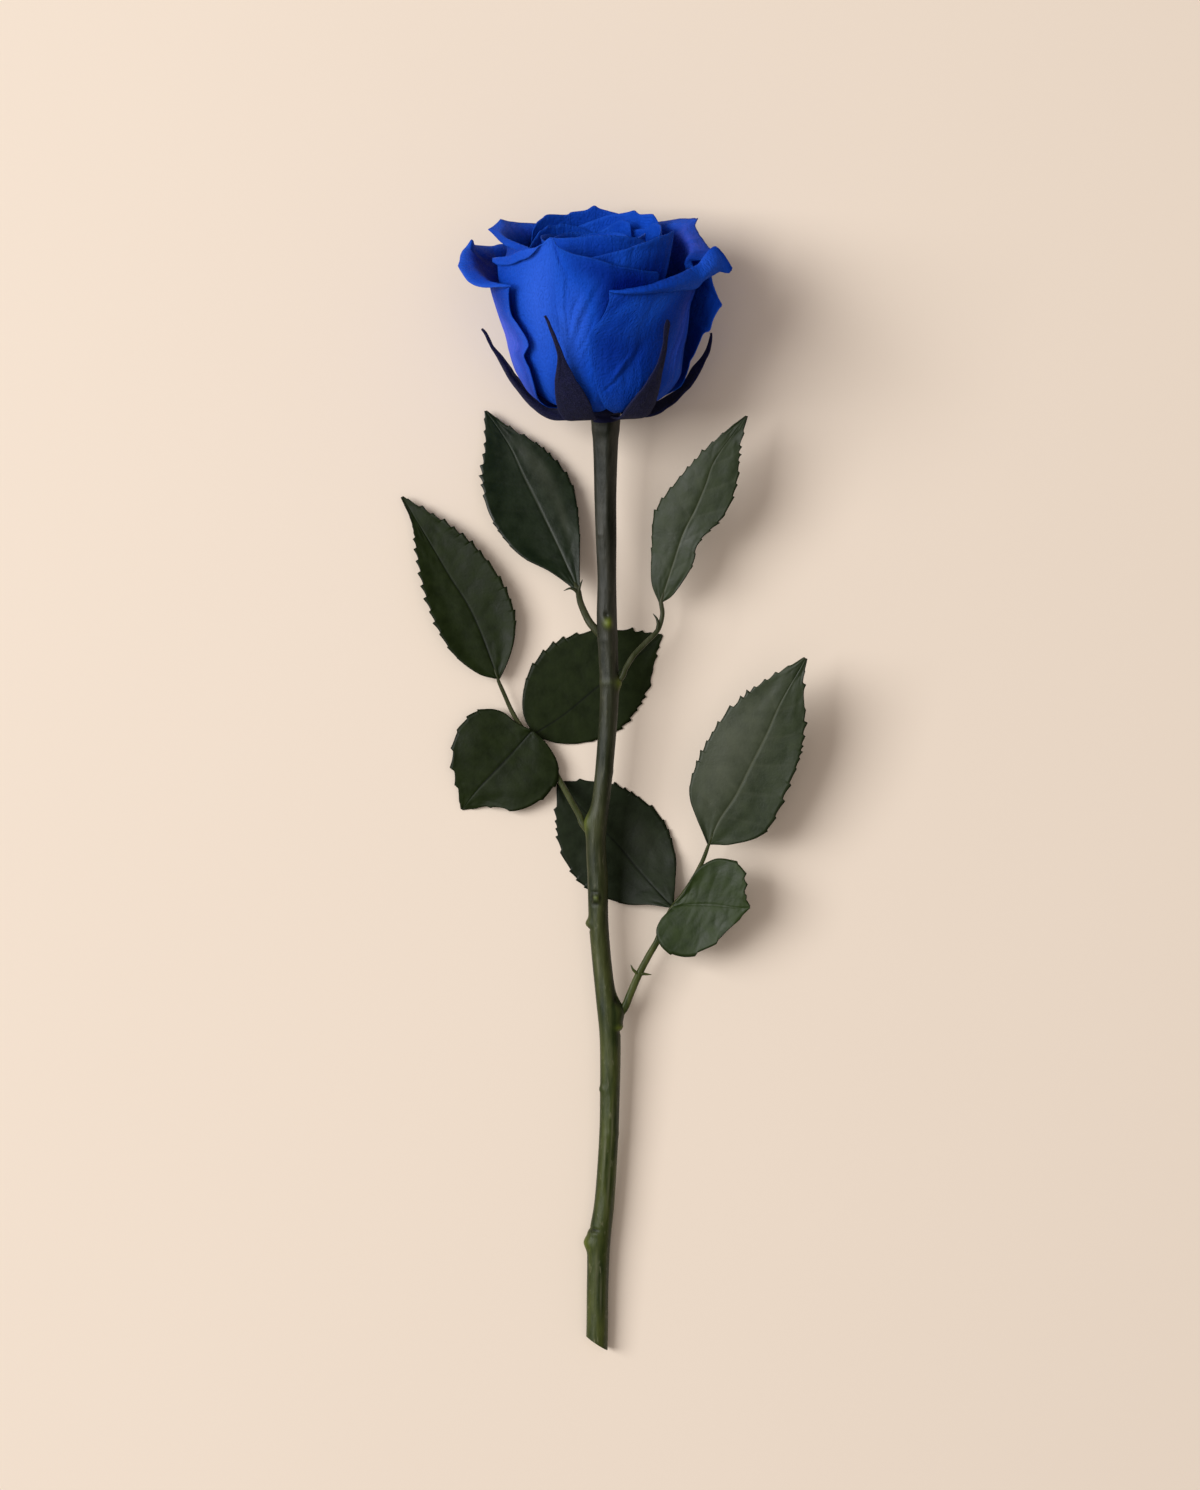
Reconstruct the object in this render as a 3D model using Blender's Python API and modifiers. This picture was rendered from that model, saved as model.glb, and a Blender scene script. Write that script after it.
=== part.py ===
"""A preserved blue rose, cut and lying on a table, built as its separate plant parts.

Units are millimetres in the tables below and metres in the scene.  The stem runs along +Y from
its cut end to the bloom, +Z is up and the table is the plane z = 0.  The bloom is modelled in a
frame of its own (Z along its axis, -Y the side that faces up) and hung on an empty that tilts it.
"""
import math
from functools import partial

import bmesh
import bpy
import numpy as np

MM = 0.001

# ---- Driving dimensions (mm, degrees) ----
BLOOM_BASE = (1.2, 90.0, 17.66)  # where the calyx meets the stem
BLOOM_RISE = 19.0  # how far the bloom's axis points up from the table
BLOOM_LEAN = 3.0  # and to the left
BELLY_RADIUS = 23.2
PETAL_THICKNESS = 0.45
SEPAL_THICKNESS = 0.6
LEAF_THICKNESS = 0.35
SEAT_GAP = 0.35
DOME_RADIUS = 5.2
DOME_FOOT = 2.0
DOME_HEIGHT = 8.6
SEAT_CLIMB = 8.0  # how far up the dome the petals are seated
GOLDEN_ANGLE = 137.5
HEART_PETALS = 15
HEART_DEPTH = 6.0  # how far inside the outermost petal the heart begins
HEART_STEP = 1.05
HEART_START = -136.0  # azimuth of its first petal
HEART_REACH = (50.0, 112.0)  # half the spread of its first and of its last petal
HEART_CLAW = (20.0, 34.0)  # and half the spread where they are seated
HEART_TOP = (46.6, 43.7)  # and the height of their rims
LIP_SHARE = 0.3  # of the rows of a petal's grid, for its lip
RISE_POWER = (1.7, 1.3)  # rows crowd towards the foot by this power, outermost and at the axis
CLOSING = 0.010  # share by which a cup closes for each mm of depth, from a height and over a span
CLOSING_HEIGHT = 22.0
CLOSING_SPAN = 26.0
FLARE_DEPTH = 9.0  # how deep inside the bloom the flare of its outside ends

# The outside of the bloom: height above the calyx and radius.
BODY_PROFILE = [
    (2.0, 5.2), (2.6, 10.0), (4.2, 14.5), (6.6, 17.6), (9.7, 20.0), (13.0, 21.5), (17.0, 22.5),
    (21.5, 23.2), (26.0, 24.3), (33.0, 26.0), (38.0, 26.6), (44.0, 26.8), (52.0, 26.8),
]

# Outer petals.  Azimuth 0 faces up, +90 is the right side, 180 lies on the table.
# left, right: azimuth of each side edge from base to rim.  rim: height where the lip starts, from
# the left edge to the right.  lip: its length, turn: how far it rolls outwards, bend: the radius
# it rolls around.  lift_left, lift_right: how far that side edge stands off, from base to rim.
OUTER_PETALS = {
    "petal_front_right": dict(
        depth=0.0, left=[14, -1, -6, -5, 5], right=[46, 58, 59, 62, 70],
        rim=[35.8, 35.9, 36.1, 36.3, 35.0], lip=[2.2, 4.2, 5.5, 7.5, 10.0],
        turn=[120, 145, 145, 130, 90], bend=[1.2, 1.5, 1.8, 2.3, 5.5],
    ),
    "petal_left": dict(
        depth=0.0, left=[-118, -135, -141, -143, -141], right=[-82, -54, -51, -55, -53],
        rim=[30.6, 31.5, 29.0, 29.7, 33.0], lip=[9, 12.5, 13.5, 10, 4],
        turn=[75, 80, 85, 85, 80], bend=[6, 8, 8, 6, 3], lift_right=[0, 0.6, 1.2, 1.5, 0],
    ),
    "petal_right": dict(
        depth=0.3, left=[94, 86, 80, 78, 80], right=[130, 148, 156, 156, 150],
        rim=[31, 33, 34, 34, 32], lip=[3, 3, 3, 3, 3], turn=[35, 35, 40, 40, 40],
        bend=[5, 5], lift_left=[0, 0, 0.5, 4.5, 2.0],
    ),
    "petal_under": dict(
        depth=0.8, left=[170, 158, 157, 158, 164], right=[204, 216, 216, 215, 208],
        rim=[27, 29, 30, 29, 27], lip=[4, 9.5, 11, 9.5, 4], turn=[60, 65, 65, 65, 60], bend=[7, 7],
    ),
    "petal_front_left": dict(
        depth=1.5, left=[-44, -74, -82, -84, -79], right=[-8, 20, 30, 33, 33],
        rim=[37.2, 39.6, 42.2, 47.2, 43.6, 41.0, 38.8], lip=[4, 5, 4, 1.4, 1, 1, 1],
        turn=[75, 85, 70, 20, 10, 10, 10], bend=[3, 3],
    ),
    "petal_second_back_left": dict(
        depth=2.9, left=[-146, -158, -162, -162, -156], right=[-112, -84, -72, -68, -70],
        rim=[37.5, 39, 39.3, 38.5, 37.5], lip=[7, 8, 8, 7, 6], turn=[55, 65, 68, 62, 50], bend=[6.5, 6.5],
    ),
    "petal_second_back_right": dict(
        depth=2.7, left=[92, 84, 80, 80, 86], right=[130, 152, 160, 160, 156],
        rim=[33, 34.6, 38.4, 38, 36.5], lip=[7, 9, 9, 8, 7], turn=[60, 70, 70, 60, 50], bend=[7, 7],
    ),
    "petal_second_right": dict(
        depth=2.9, left=[36, 2, -12, -16, -14], right=[70, 73, 71, 69, 67],
        rim=[42, 43, 44.8, 46.6, 43], lip=[1, 1], turn=[10, 10], bend=[5, 5],
    ),
    "petal_second_back": dict(
        depth=4.2, left=[162, 148, 142, 142, 148], right=[198, 216, 226, 228, 222],
        rim=[41.5, 44.4, 45.2, 45.4, 43.6, 41], lip=[2, 2], turn=[25, 25], bend=[5, 5],
    ),
    "petal_second_front": dict(
        depth=4.2, left=[-58, -72, -78, -78, -70], right=[-22, -4, 6, 8, 4],
        rim=[40, 42, 43, 42, 40], lip=[1, 1], turn=[10, 10], bend=[5, 5],
    ),
}

# Sepals.  centre: azimuth from base to tip.  half: half width.  path: radius and height.
SEPAL_FOOT = [(4.7, 0.0), (9.2, 0.3), (14.0, 1.9), (18.2, 5.0), (21.3, 9.1), (22.9, 13.4)]
SEPALS = {
    "sepal_front_left": dict(
        centre=[-30, -24, -22, -26, -30], half=[2.1, 4.9, 4.3, 1.9, 0.5], tip=[(24.7, 20), (26.8, 30.5)],
    ),
    "sepal_front_right": dict(
        centre=[32, 28, 28, 34, 39], half=[2.1, 4.5, 4.0, 1.8, 0.5], tip=[(24.6, 19), (26.4, 27.5)],
    ),
    "sepal_left": dict(
        centre=[-101, -102, -103, -104, -102], half=[2.1, 4.6, 4.0, 1.8, 0.5], tip=[(25.6, 16.5), (29.2, 21)],
    ),
    "sepal_right": dict(
        centre=[105, 106, 106, 104, 102], half=[2.1, 4.6, 4.0, 1.8, 0.5], tip=[(25.2, 15.5), (28.4, 18.5)],
    ),
    "sepal_under": dict(
        centre=[180, 180, 180, 180, 180], half=[2.1, 4.6, 4.2, 2.4, 0.6], tip=[(24.2, 17), (25.2, 22)],
    ),
}

# The stem: x, y, z of its centre and its radius, from the calyx to the cut end.
STEM = [
    (1.2, 89.2, 17.2, 3.5), (1.2, 85, 16.5, 3.0), (1.2, 77.5, 15.6, 2.6), (1.2, 69, 14.7, 2.45),
    (1.4, 59.5, 13.9, 2.4), (1.6, 49.5, 13.1, 2.35), (1.6, 39.5, 12.4, 2.55), (2.0, 29.5, 11.7, 2.45),
    (2.2, 19.5, 11.0, 2.35), (1.2, 5, 10.1, 2.25), (0.2, -5, 9.5, 2.25), (-1.0, -15, 9.0, 2.45),
    (-0.6, -25, 8.4, 2.55), (-0.4, -35, 7.8, 2.45), (0.4, -45, 7.3, 2.4), (1.5, -55, 6.8, 2.5),
    (2.5, -65, 6.3, 2.6), (2.4, -80, 5.6, 2.45), (2.1, -90, 5.1, 2.4), (1.1, -105, 4.4, 2.5),
    (-0.2, -115, 3.9, 2.8), (-0.6, -125, 3.4, 2.7), (-0.7, -135, 2.95, 2.7), (-0.9, -146, 2.6, 2.7),
]
CUT_POINT = (-0.8, -140.6, 2.8)
CUT_NORMAL = (-0.55, -0.83, 0.0)
# Buds and leaf scars on the stem: centre and half sizes.
STEM_KNOTS = {
    "bud_scar": ((1.9, 39.0, 14.1), (1.5, 1.9, 1.1)),
    "left_knot": ((-2.6, -13.5, 9.2), (1.3, 3.0, 1.5)),
    "round_scar": ((-1.0, -29.5, 10.0), (1.5, 1.5, 1.0)),
    "left_bud": ((-2.7, -36.0, 7.9), (1.0, 1.3, 1.2)),
    "right_knot": ((4.4, -61.5, 6.7), (1.5, 3.6, 1.8)),
    "low_left_knot": ((-2.6, -117.0, 3.9), (1.4, 2.0, 1.6)),
}

# Leaf stalks: x, y, z along the middle and the radius at both ends.
STALKS = {
    "leaf_stalk_upper_left": dict(
        path=[(-5.3, 46.2, 8.6), (-4.9, 44.0, 9.6), (-3.8, 41.2, 10.9), (-2.4, 38.6, 11.9)],
        radii=(0.65, 0.85),
    ),
    "leaf_stalk_upper_right": dict(
        path=[
            (15.2, 43.0, 11.0), (15.4, 40.5, 10.8), (14.2, 36.8, 10.8), (11.0, 33.5, 11.0),
            (8.3, 30.6, 11.3), (6.3, 27.4, 11.6), (5.6, 25.6, 11.7),
        ],
        radii=(0.55, 0.75),
    ),
    "leaf_stalk_lower_left": dict(
        path=[
            (-25.2, 24.2, 4.2), (-24, 21.5, 3.9), (-22, 17, 3.3), (-19.5, 12.9, 2.6), (-16.8, 10.6, 2.25),
            (-13.5, 6, 2.2), (-10.5, 0.5, 2.5), (-7.6, -4.6, 5.6), (-5.1, -9.0, 8.6), (-4.4, -10.9, 9.3),
        ],
        radii=(0.5, 0.85),
    ),
    "leaf_stalk_lower_right": dict(
        path=[
            (26.8, -16.4, 10.8), (25.5, -20, 9.9), (23.5, -24, 9.0), (20.8, -28.4, 8.1), (18, -32, 7.3),
            (15.6, -36.5, 7.0), (14.2, -40.2, 6.9), (12, -44, 6.8), (9.4, -49, 6.8), (7.4, -53.6, 6.8),
            (6.0, -56.9, 6.8),
        ],
        radii=(0.5, 0.9),
    ),
}

# Leaf blades.  left, right: the two margins from base to tip; rib: the midrib; height: of the
# midrib; left_rise, right_rise: how far each margin stands above the midrib.
BLADES = {
    "leaf_upper_left": dict(
        left=[
            (-6.0, 46.8), (-12.5, 51.5), (-20.5, 56), (-27, 64.5), (-29.5, 74.5), (-28.8, 83),
            (-28.8, 91.8),
        ],
        right=[
            (-5.0, 46.8), (-4.9, 54.5), (-5, 62), (-6, 70.5), (-8.5, 76.5), (-14.5, 83), (-21.5, 87.2),
            (-28.3, 91.8),
        ],
        rib=[(-5.5, 46.8), (-10, 57), (-15, 67.5), (-19, 75.5), (-22.5, 83), (-28.5, 91.8)],
        height=[8.8, 6.2, 4.4, 3.2, 2.4], left_rise=[0, 1.2, 1.8, 1, 0], right_rise=[0, 0, -0.6, -0.4, 0],
    ),
    "leaf_upper_right": dict(
        left=[
            (14.6, 44.0), (12.6, 49), (12.7, 57), (13.5, 66), (19, 74), (25.5, 81), (31.5, 86.3),
            (35.8, 89.3),
        ],
        right=[
            (15.6, 44.0), (18.5, 46), (22.8, 52.5), (24.5, 58.5), (31, 65.5), (34, 74), (34.6, 82),
            (36.2, 89.3),
        ],
        rib=[(15.1, 44.0), (18, 53), (20.5, 60.5), (23.5, 66.5), (26, 72.5), (28.5, 79), (36, 89.3)],
        height=[11.2, 13.2, 15, 16.6, 18], left_rise=[0, -1.5, -2.2, -0.6, 0],
        right_rise=[0, 2.2, 1.2, 1.8, 0],
    ),
    "leaf_lower_left": dict(
        left=[
            (-26, 25.2), (-30.5, 26.3), (-36.5, 31), (-41, 38.5), (-43.8, 46.5), (-45.6, 55), (-47, 64),
            (-49.6, 70.3),
        ],
        right=[
            (-25, 25.2), (-23, 29), (-21.2, 35), (-21.3, 42), (-24.8, 50), (-30.5, 57.5), (-38, 63.8),
            (-49.2, 70.5),
        ],
        rib=[(-25.5, 25.2), (-29.5, 36), (-33, 43.5), (-37.5, 50.5), (-42.5, 59), (-49.4, 70.4)],
        height=[4.4, 3.8, 3.4, 3.2, 2.4], left_rise=[0, 1, 1.4, 1, 0], right_rise=[0, 1.2, 1.6, 1, 0],
    ),
    "leaf_lower_left_side": dict(
        left=[
            (-16.6, 11.7), (-13.5, 9), (-10.5, 3.8), (-10.9, -1), (-15, -5.6), (-21, -8), (-27, -7),
            (-34.3, -7.7),
        ],
        right=[
            (-17.4, 12.3), (-21, 14), (-24.5, 16.8), (-28.5, 17.5), (-32.5, 16), (-36.2, 11), (-37, 4.5),
            (-36, -1), (-34.7, -7.5),
        ],
        rib=[(-17, 12), (-23.5, 4.8), (-30, -2), (-34.5, -7.6)],
        height=[3.7, 3.5, 3.2, 2.2, 0.4], left_rise=[0, 0.5, 0.8, 0.2, 0], right_rise=[0, 0.4, 0.8, 0.4, 0],
    ),
    "leaf_lower_left_under": dict(
        left=[
            (-16.8, 11.5), (-19.2, 16.5), (-19, 23), (-16.5, 29), (-10.5, 34.6), (0, 37.5), (8, 37.2),
            (15.4, 36.2),
        ],
        right=[
            (-16.2, 10.9), (-10.5, 8.9), (-4, 9), (4.5, 12), (10.5, 19), (13.5, 27.5), (14.4, 32),
            (15.7, 35.8),
        ],
        rib=[(-16.5, 11.2), (-8.5, 16.5), (0, 23.5), (8.5, 29.8), (15.5, 36)],
        height=[1.1, 0.45, 0.22, 0.22, 0.3], left_rise=[0, 0, 0, 0, 0], right_rise=[0, 0, 0, 0, 0],
    ),
    "leaf_lower_right": dict(
        left=[(26.6, -15.7), (23.8, -9.5), (22, -3), (23.8, 4), (29, 13.8), (36, 21.2), (43, 26), (50.2, 30)],
        right=[(27.4, -15.9), (33, -16), (41, -13), (46, -3), (49.4, 6), (50.6, 16), (50, 24), (50.8, 29.7)],
        rib=[(27, -15.8), (29.5, -10), (33.5, -4), (37, 3), (41, 11), (44.5, 19), (50.5, 29.8)],
        height=[11.1, 12.6, 14.4, 16.4, 18.6], left_rise=[0, 0.4, 0.8, 0.4, 0],
        right_rise=[0, 2.2, 3, 1.6, 0],
    ),
    "leaf_lower_right_under": dict(
        left=[(17.6, -31.9), (12, -31.3), (5, -31), (-4.5, -26.5), (-9.5, -19), (-11.2, -11), (-10.8, -1.3)],
        right=[
            (18.2, -31.2), (18.8, -25), (18.8, -18.5), (16, -10.5), (10, -4.5), (2.5, -0.8), (-5, -0.2),
            (-10.3, -0.7),
        ],
        rib=[(17.9, -31.6), (13.5, -27), (9, -22), (4, -16), (-3, -9), (-10.5, -1)],
        height=[5.9, 1.8, 0.3, 0.22, 0.3], left_rise=[0, 0, 0, 0, 0], right_rise=[0, 0, 0, 0, 0],
    ),
    "leaf_lower_right_side": dict(
        left=[
            (18.2, -31.2), (21, -28), (24, -22.5), (29, -19.4), (34.5, -20.8), (36, -25), (35.8, -28.5),
            (37, -31.3),
        ],
        right=[
            (17.9, -32), (15, -35), (14, -38.5), (16, -42.3), (21, -44), (27.5, -41.4), (32, -37),
            (37, -31.7),
        ],
        rib=[(18.1, -31.6), (22.5, -31), (27.5, -31), (33, -31.6), (37, -31.5)],
        height=[8.5, 9.6, 10.8, 12, 13], left_rise=[0, 0.6, 1, 1.4, 0], right_rise=[0, -0.2, -0.4, 0.6, 0],
    ),
}

COLOURS = {
    "petal": (0.016, 0.075, 0.52),
    "sepal": (0.012, 0.012, 0.035),
    "leaf": (0.016, 0.026, 0.010),
    "stem": (0.040, 0.050, 0.018),
}


def smooth_line(points, count):
    """Points spaced evenly along a smooth curve (Catmull-Rom) through the given ones."""
    given = np.array(points, float)
    ends = np.vstack([2 * given[0] - given[1], given, 2 * given[-1] - given[-2]])
    step = np.linspace(0, 1, 12, endpoint=False)[:, None]
    pieces = []
    for a, b, c, d in zip(ends, ends[1:], ends[2:], ends[3:]):
        cubic = 3 * b - a - 3 * c + d
        square = 2 * a - 5 * b + 4 * c - d
        pieces.append(b + 0.5 * ((c - a) * step + square * step**2 + cubic * step**3))
    line = np.vstack(pieces + [given[-1:]])
    gone = np.concatenate([[0], np.cumsum(np.linalg.norm(np.diff(line, axis=0), axis=1))])
    stations = np.linspace(0, gone[-1], count)
    return np.column_stack([np.interp(stations, gone, line[:, k]) for k in range(line.shape[1])])


def glide(values, t):
    """A smooth curve through values spaced evenly from t = 0 to t = 1, read at t."""
    values = np.array(values, float)
    padded = np.concatenate([[2 * values[0] - values[1]], values, [2 * values[-1] - values[-2]]])
    place = np.clip(t, 0, 1) * (len(values) - 1)
    i = np.minimum(place.astype(int), len(values) - 2)
    f = place - i
    a, b, c, d = padded[i], padded[i + 1], padded[i + 2], padded[i + 3]
    return b + 0.5 * ((c - a) * f + (2 * a - 5 * b + 4 * c - d) * f**2 + (3 * b - a - 3 * c + d) * f**3)


BODY_LINE = smooth_line(BODY_PROFILE, 400)


def body_radius(height):
    """Radius of the bloom's outside at a height above the calyx."""
    return np.interp(height, BODY_LINE[:, 0], BODY_LINE[:, 1])


def shell_foot(depth):
    """Height and radius where a petal this deep inside the bloom leaves the receptacle."""
    climb = SEAT_CLIMB * depth / BELLY_RADIUS
    radius = DOME_RADIUS * math.sqrt(1 - (climb / DOME_HEIGHT) ** 2) + SEAT_GAP
    return DOME_FOOT + climb + SEAT_GAP * depth / BELLY_RADIUS, radius


def shell_radius(height, depth):
    """Nested cups: the radius of the one that lies this deep inside the bloom's outside."""
    foot_height, foot_radius = shell_foot(depth)
    outside = body_radius(height - foot_height + DOME_FOOT)
    rise = (np.minimum(outside, BELLY_RADIUS) - DOME_RADIUS) / (BELLY_RADIUS - DOME_RADIUS)
    flare = np.maximum(body_radius(height) - BELLY_RADIUS, 0) * max(0.0, 1 - depth / FLARE_DEPTH)
    closing = 1 - CLOSING * depth * np.clip((height - CLOSING_HEIGHT) / CLOSING_SPAN, 0, 1) ** 2
    return (foot_radius + (BELLY_RADIUS - depth - foot_radius) * rise) * closing + flare


def petal_point(petal, u, v):
    """The petal's middle surface in the bloom's frame; u runs from its left edge to its right
    over 0..1 and v from its base to its rim over 0..1."""
    foot_height, _ = shell_foot(petal["depth"])
    body = np.clip(v / (1 - LIP_SHARE), 0, 1)
    curl = np.clip((v - 1 + LIP_SHARE) / LIP_SHARE, 0, 1)
    top = glide(petal["rim"], u)
    power = np.interp(petal["depth"], (0, BELLY_RADIUS), RISE_POWER)
    height = foot_height + (top - foot_height) * body**power
    azimuth = np.radians((1 - u) * glide(petal["left"], v) + u * glide(petal["right"], v))
    radius = shell_radius(height, petal["depth"])
    radius = radius + glide(petal.get("lift_left", [0, 0]), v) * np.clip(1 - 2 * u, 0, 1) ** 2
    radius = radius + glide(petal.get("lift_right", [0, 0]), v) * np.clip(2 * u - 1, 0, 1) ** 2
    bend = glide(petal["bend"], u)
    along = glide(petal["lip"], u) * curl
    angle = np.minimum(along / bend, np.radians(glide(petal["turn"], u)))
    straight = along - bend * angle
    radius = radius + bend * (1 - np.cos(angle)) + straight * np.sin(angle)
    height = height + bend * np.sin(angle) + straight * np.cos(angle)
    return radius * np.sin(azimuth), -radius * np.cos(azimuth), height


def heart_petal(number):
    """One of the petals of the closed heart, set round the axis by the golden angle."""
    share = number / (HEART_PETALS - 1)
    centre = HEART_START + GOLDEN_ANGLE * number
    half = np.interp(share, (0, 1), HEART_REACH)
    claw = np.interp(share, (0, 1), HEART_CLAW)
    top = np.interp(share, (0, 1), HEART_TOP)
    reach = np.array([claw, half * 0.72, half * 0.94, half, half * 0.94])
    return dict(
        depth=HEART_DEPTH + HEART_STEP * number,
        left=list(centre - reach), right=list(centre + reach),
        rim=[top - 5, top - 1.5, top, top - 1.5, top - 5], lip=[1.0, 1.0], turn=[8, 8], bend=[5, 5],
    )


def sepal_point(sepal, u, v):
    """The sepal's middle surface in the bloom's frame; u is -1..1 across, v 0..1 from its base."""
    path = smooth_line(SEPAL_FOOT + sepal["tip"], 200)
    stations = np.linspace(0, 1, len(path))
    radius = np.interp(v, stations, path[:, 0])
    height = np.interp(v, stations, path[:, 1])
    width = glide(sepal["half"], v)
    azimuth = np.radians(glide(sepal["centre"], v)) + u * width / radius
    return radius * np.sin(azimuth), -radius * np.cos(azimuth), height


def blade_point(blade, u, v):
    """A leaf blade's middle surface; u is -1..1 from margin to margin, v 0..1 from its base."""
    stations = np.linspace(0, 1, 120)
    lines = {key: smooth_line(blade[key], len(stations)) for key in ("left", "right", "rib")}
    place = {}
    for key, line in lines.items():
        place[key] = [np.interp(v, stations, line[:, axis]) for axis in (0, 1)]
    out = np.abs(u)
    side = [np.where(u < 0, place["left"][axis], place["right"][axis]) for axis in (0, 1)]
    x, y = [(1 - out) * place["rib"][axis] + out * side[axis] for axis in (0, 1)]
    rise = np.where(u < 0, glide(blade["left_rise"], v), glide(blade["right_rise"], v))
    return x, y, glide(blade["height"], v) + rise * out**1.5


def clear_scene():
    for obj in list(bpy.data.objects):
        bpy.data.objects.remove(obj, do_unlink=True)


def new_collection(name):
    collection = bpy.data.collections.new(name)
    bpy.context.scene.collection.children.link(collection)
    return collection


def plant_material(name, roughness):
    """A Principled material in the colour of the part that its name starts with."""
    material = bpy.data.materials.new(name)
    material.use_nodes = True
    shader = material.node_tree.nodes["Principled BSDF"]
    shader.inputs["Base Color"].default_value = (*COLOURS[name.split("_")[0]], 1)
    shader.inputs["Roughness"].default_value = roughness
    shader.inputs["Metallic"].default_value = 0.0
    return material


def thin_sheet(name, point, columns, rows, thickness, u_range, material, collection):
    """A grid bent to the surface that point(u, v) gives, and thickened evenly both ways."""
    mesh = bpy.data.meshes.new(name)
    grid = bmesh.new()
    bmesh.ops.create_grid(grid, x_segments=columns, y_segments=rows, size=0.5)
    u = np.array([vert.co.x + 0.5 for vert in grid.verts])
    v = np.array([vert.co.y + 0.5 for vert in grid.verts])
    x, y, z = point(u_range[0] + (u_range[1] - u_range[0]) * u, v)
    for vert, place in zip(grid.verts, np.column_stack([x, y, z]) * MM):
        vert.co = place
    grid.to_mesh(mesh)
    grid.free()
    mesh.shade_smooth()
    mesh.materials.append(material)
    obj = bpy.data.objects.new(name, mesh)
    collection.objects.link(obj)
    solidify = obj.modifiers.new("thickness", "SOLIDIFY")
    solidify.thickness = thickness * MM
    solidify.offset = 0.0
    return obj


def tube(name, path, radii, count, sides, material, collection):
    """A round stalk along a smooth line, as a curve with filled caps made into a mesh."""
    line = smooth_line([(*p, r) for p, r in zip(path, radii)], count)
    curve = bpy.data.curves.new(name, "CURVE")
    curve.dimensions = "3D"
    curve.bevel_depth = MM
    curve.bevel_resolution = sides
    curve.use_fill_caps = True
    strand = curve.splines.new("POLY")
    strand.points.add(count - 1)
    for point, (x, y, z, radius) in zip(strand.points, line):
        point.co = (x * MM, y * MM, z * MM, 1)
        point.radius = radius
    guide = bpy.data.objects.new(name + "_guide", curve)
    collection.objects.link(guide)
    bpy.context.view_layer.update()
    evaluated = guide.evaluated_get(bpy.context.evaluated_depsgraph_get())
    mesh = bpy.data.meshes.new_from_object(evaluated)
    obj = bpy.data.objects.new(name, mesh)
    obj.matrix_world = guide.matrix_world.copy()
    bpy.data.objects.remove(guide, do_unlink=True)
    shape = bmesh.new()
    shape.from_mesh(mesh)
    bmesh.ops.remove_doubles(shape, verts=shape.verts, dist=0.00001)
    bmesh.ops.recalc_face_normals(shape, faces=shape.faces)
    shape.to_mesh(mesh)
    shape.free()
    mesh.materials.clear()
    mesh.materials.append(material)
    mesh.shade_smooth()
    collection.objects.link(obj)
    return obj


def hidden_shape(name, mesh, cutters):
    """A helper for a Boolean, kept out of the render."""
    obj = bpy.data.objects.new(name, mesh)
    obj.hide_render = True
    obj.display_type = "WIRE"
    cutters.objects.link(obj)
    return obj


def combine(obj, other, operation):
    boolean = obj.modifiers.new(other.name, "BOOLEAN")
    boolean.operation = operation
    boolean.object = other
    boolean.solver = "EXACT"


def knot_mesh(name, size):
    mesh = bpy.data.meshes.new(name)
    ball = bmesh.new()
    bmesh.ops.create_uvsphere(ball, u_segments=10, v_segments=6, radius=1)
    bmesh.ops.scale(ball, vec=[s * MM for s in size], verts=ball.verts)
    ball.to_mesh(mesh)
    ball.free()
    return mesh


def build_stem(parts, cutters, material):
    stem = tube("stem", [p[:3] for p in STEM], [p[3] for p in STEM], 42, 4, material, parts)
    for name, (centre, size) in STEM_KNOTS.items():
        knot = hidden_shape("stem_" + name, knot_mesh(name, size), cutters)
        knot.location = [c * MM for c in centre]
        combine(stem, knot, "UNION")
    block = bpy.data.meshes.new("cut_block")
    box = bmesh.new()
    bmesh.ops.create_cube(box, size=0.02)
    bmesh.ops.translate(box, vec=(0, 0.01, 0), verts=box.verts)
    box.to_mesh(block)
    box.free()
    cutter = hidden_shape("stem_cut", block, cutters)
    cutter.location = [c * MM for c in CUT_POINT]
    cutter.rotation_euler = (0, 0, math.atan2(CUT_NORMAL[1], CUT_NORMAL[0]) - math.pi / 2)
    combine(stem, cutter, "DIFFERENCE")


def build_receptacle(pose, parts, material):
    """The turned heart of the bloom that every petal and sepal grows from."""
    dome = [
        (DOME_RADIUS * math.cos(math.radians(a)), DOME_FOOT + DOME_HEIGHT * math.sin(math.radians(a)))
        for a in (80, 65, 50, 35, 18, 0)
    ]
    outline = [(0, DOME_FOOT + DOME_HEIGHT)] + dome + [(4.7, 1.1), (3.9, 0.2), (2.6, -0.1), (0, -0.1)]
    mesh = bpy.data.meshes.new("receptacle")
    points = [(r * MM, 0, h * MM) for r, h in outline]
    mesh.from_pydata(points, [(i, i + 1) for i in range(len(outline) - 1)], [])
    mesh.materials.append(material)
    receptacle = bpy.data.objects.new("receptacle", mesh)
    receptacle.parent = pose
    parts.objects.link(receptacle)
    screw = receptacle.modifiers.new("turn", "SCREW")
    screw.steps = 20
    screw.render_steps = 20
    screw.use_merge_vertices = True
    screw.merge_threshold = 0.00001


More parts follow.
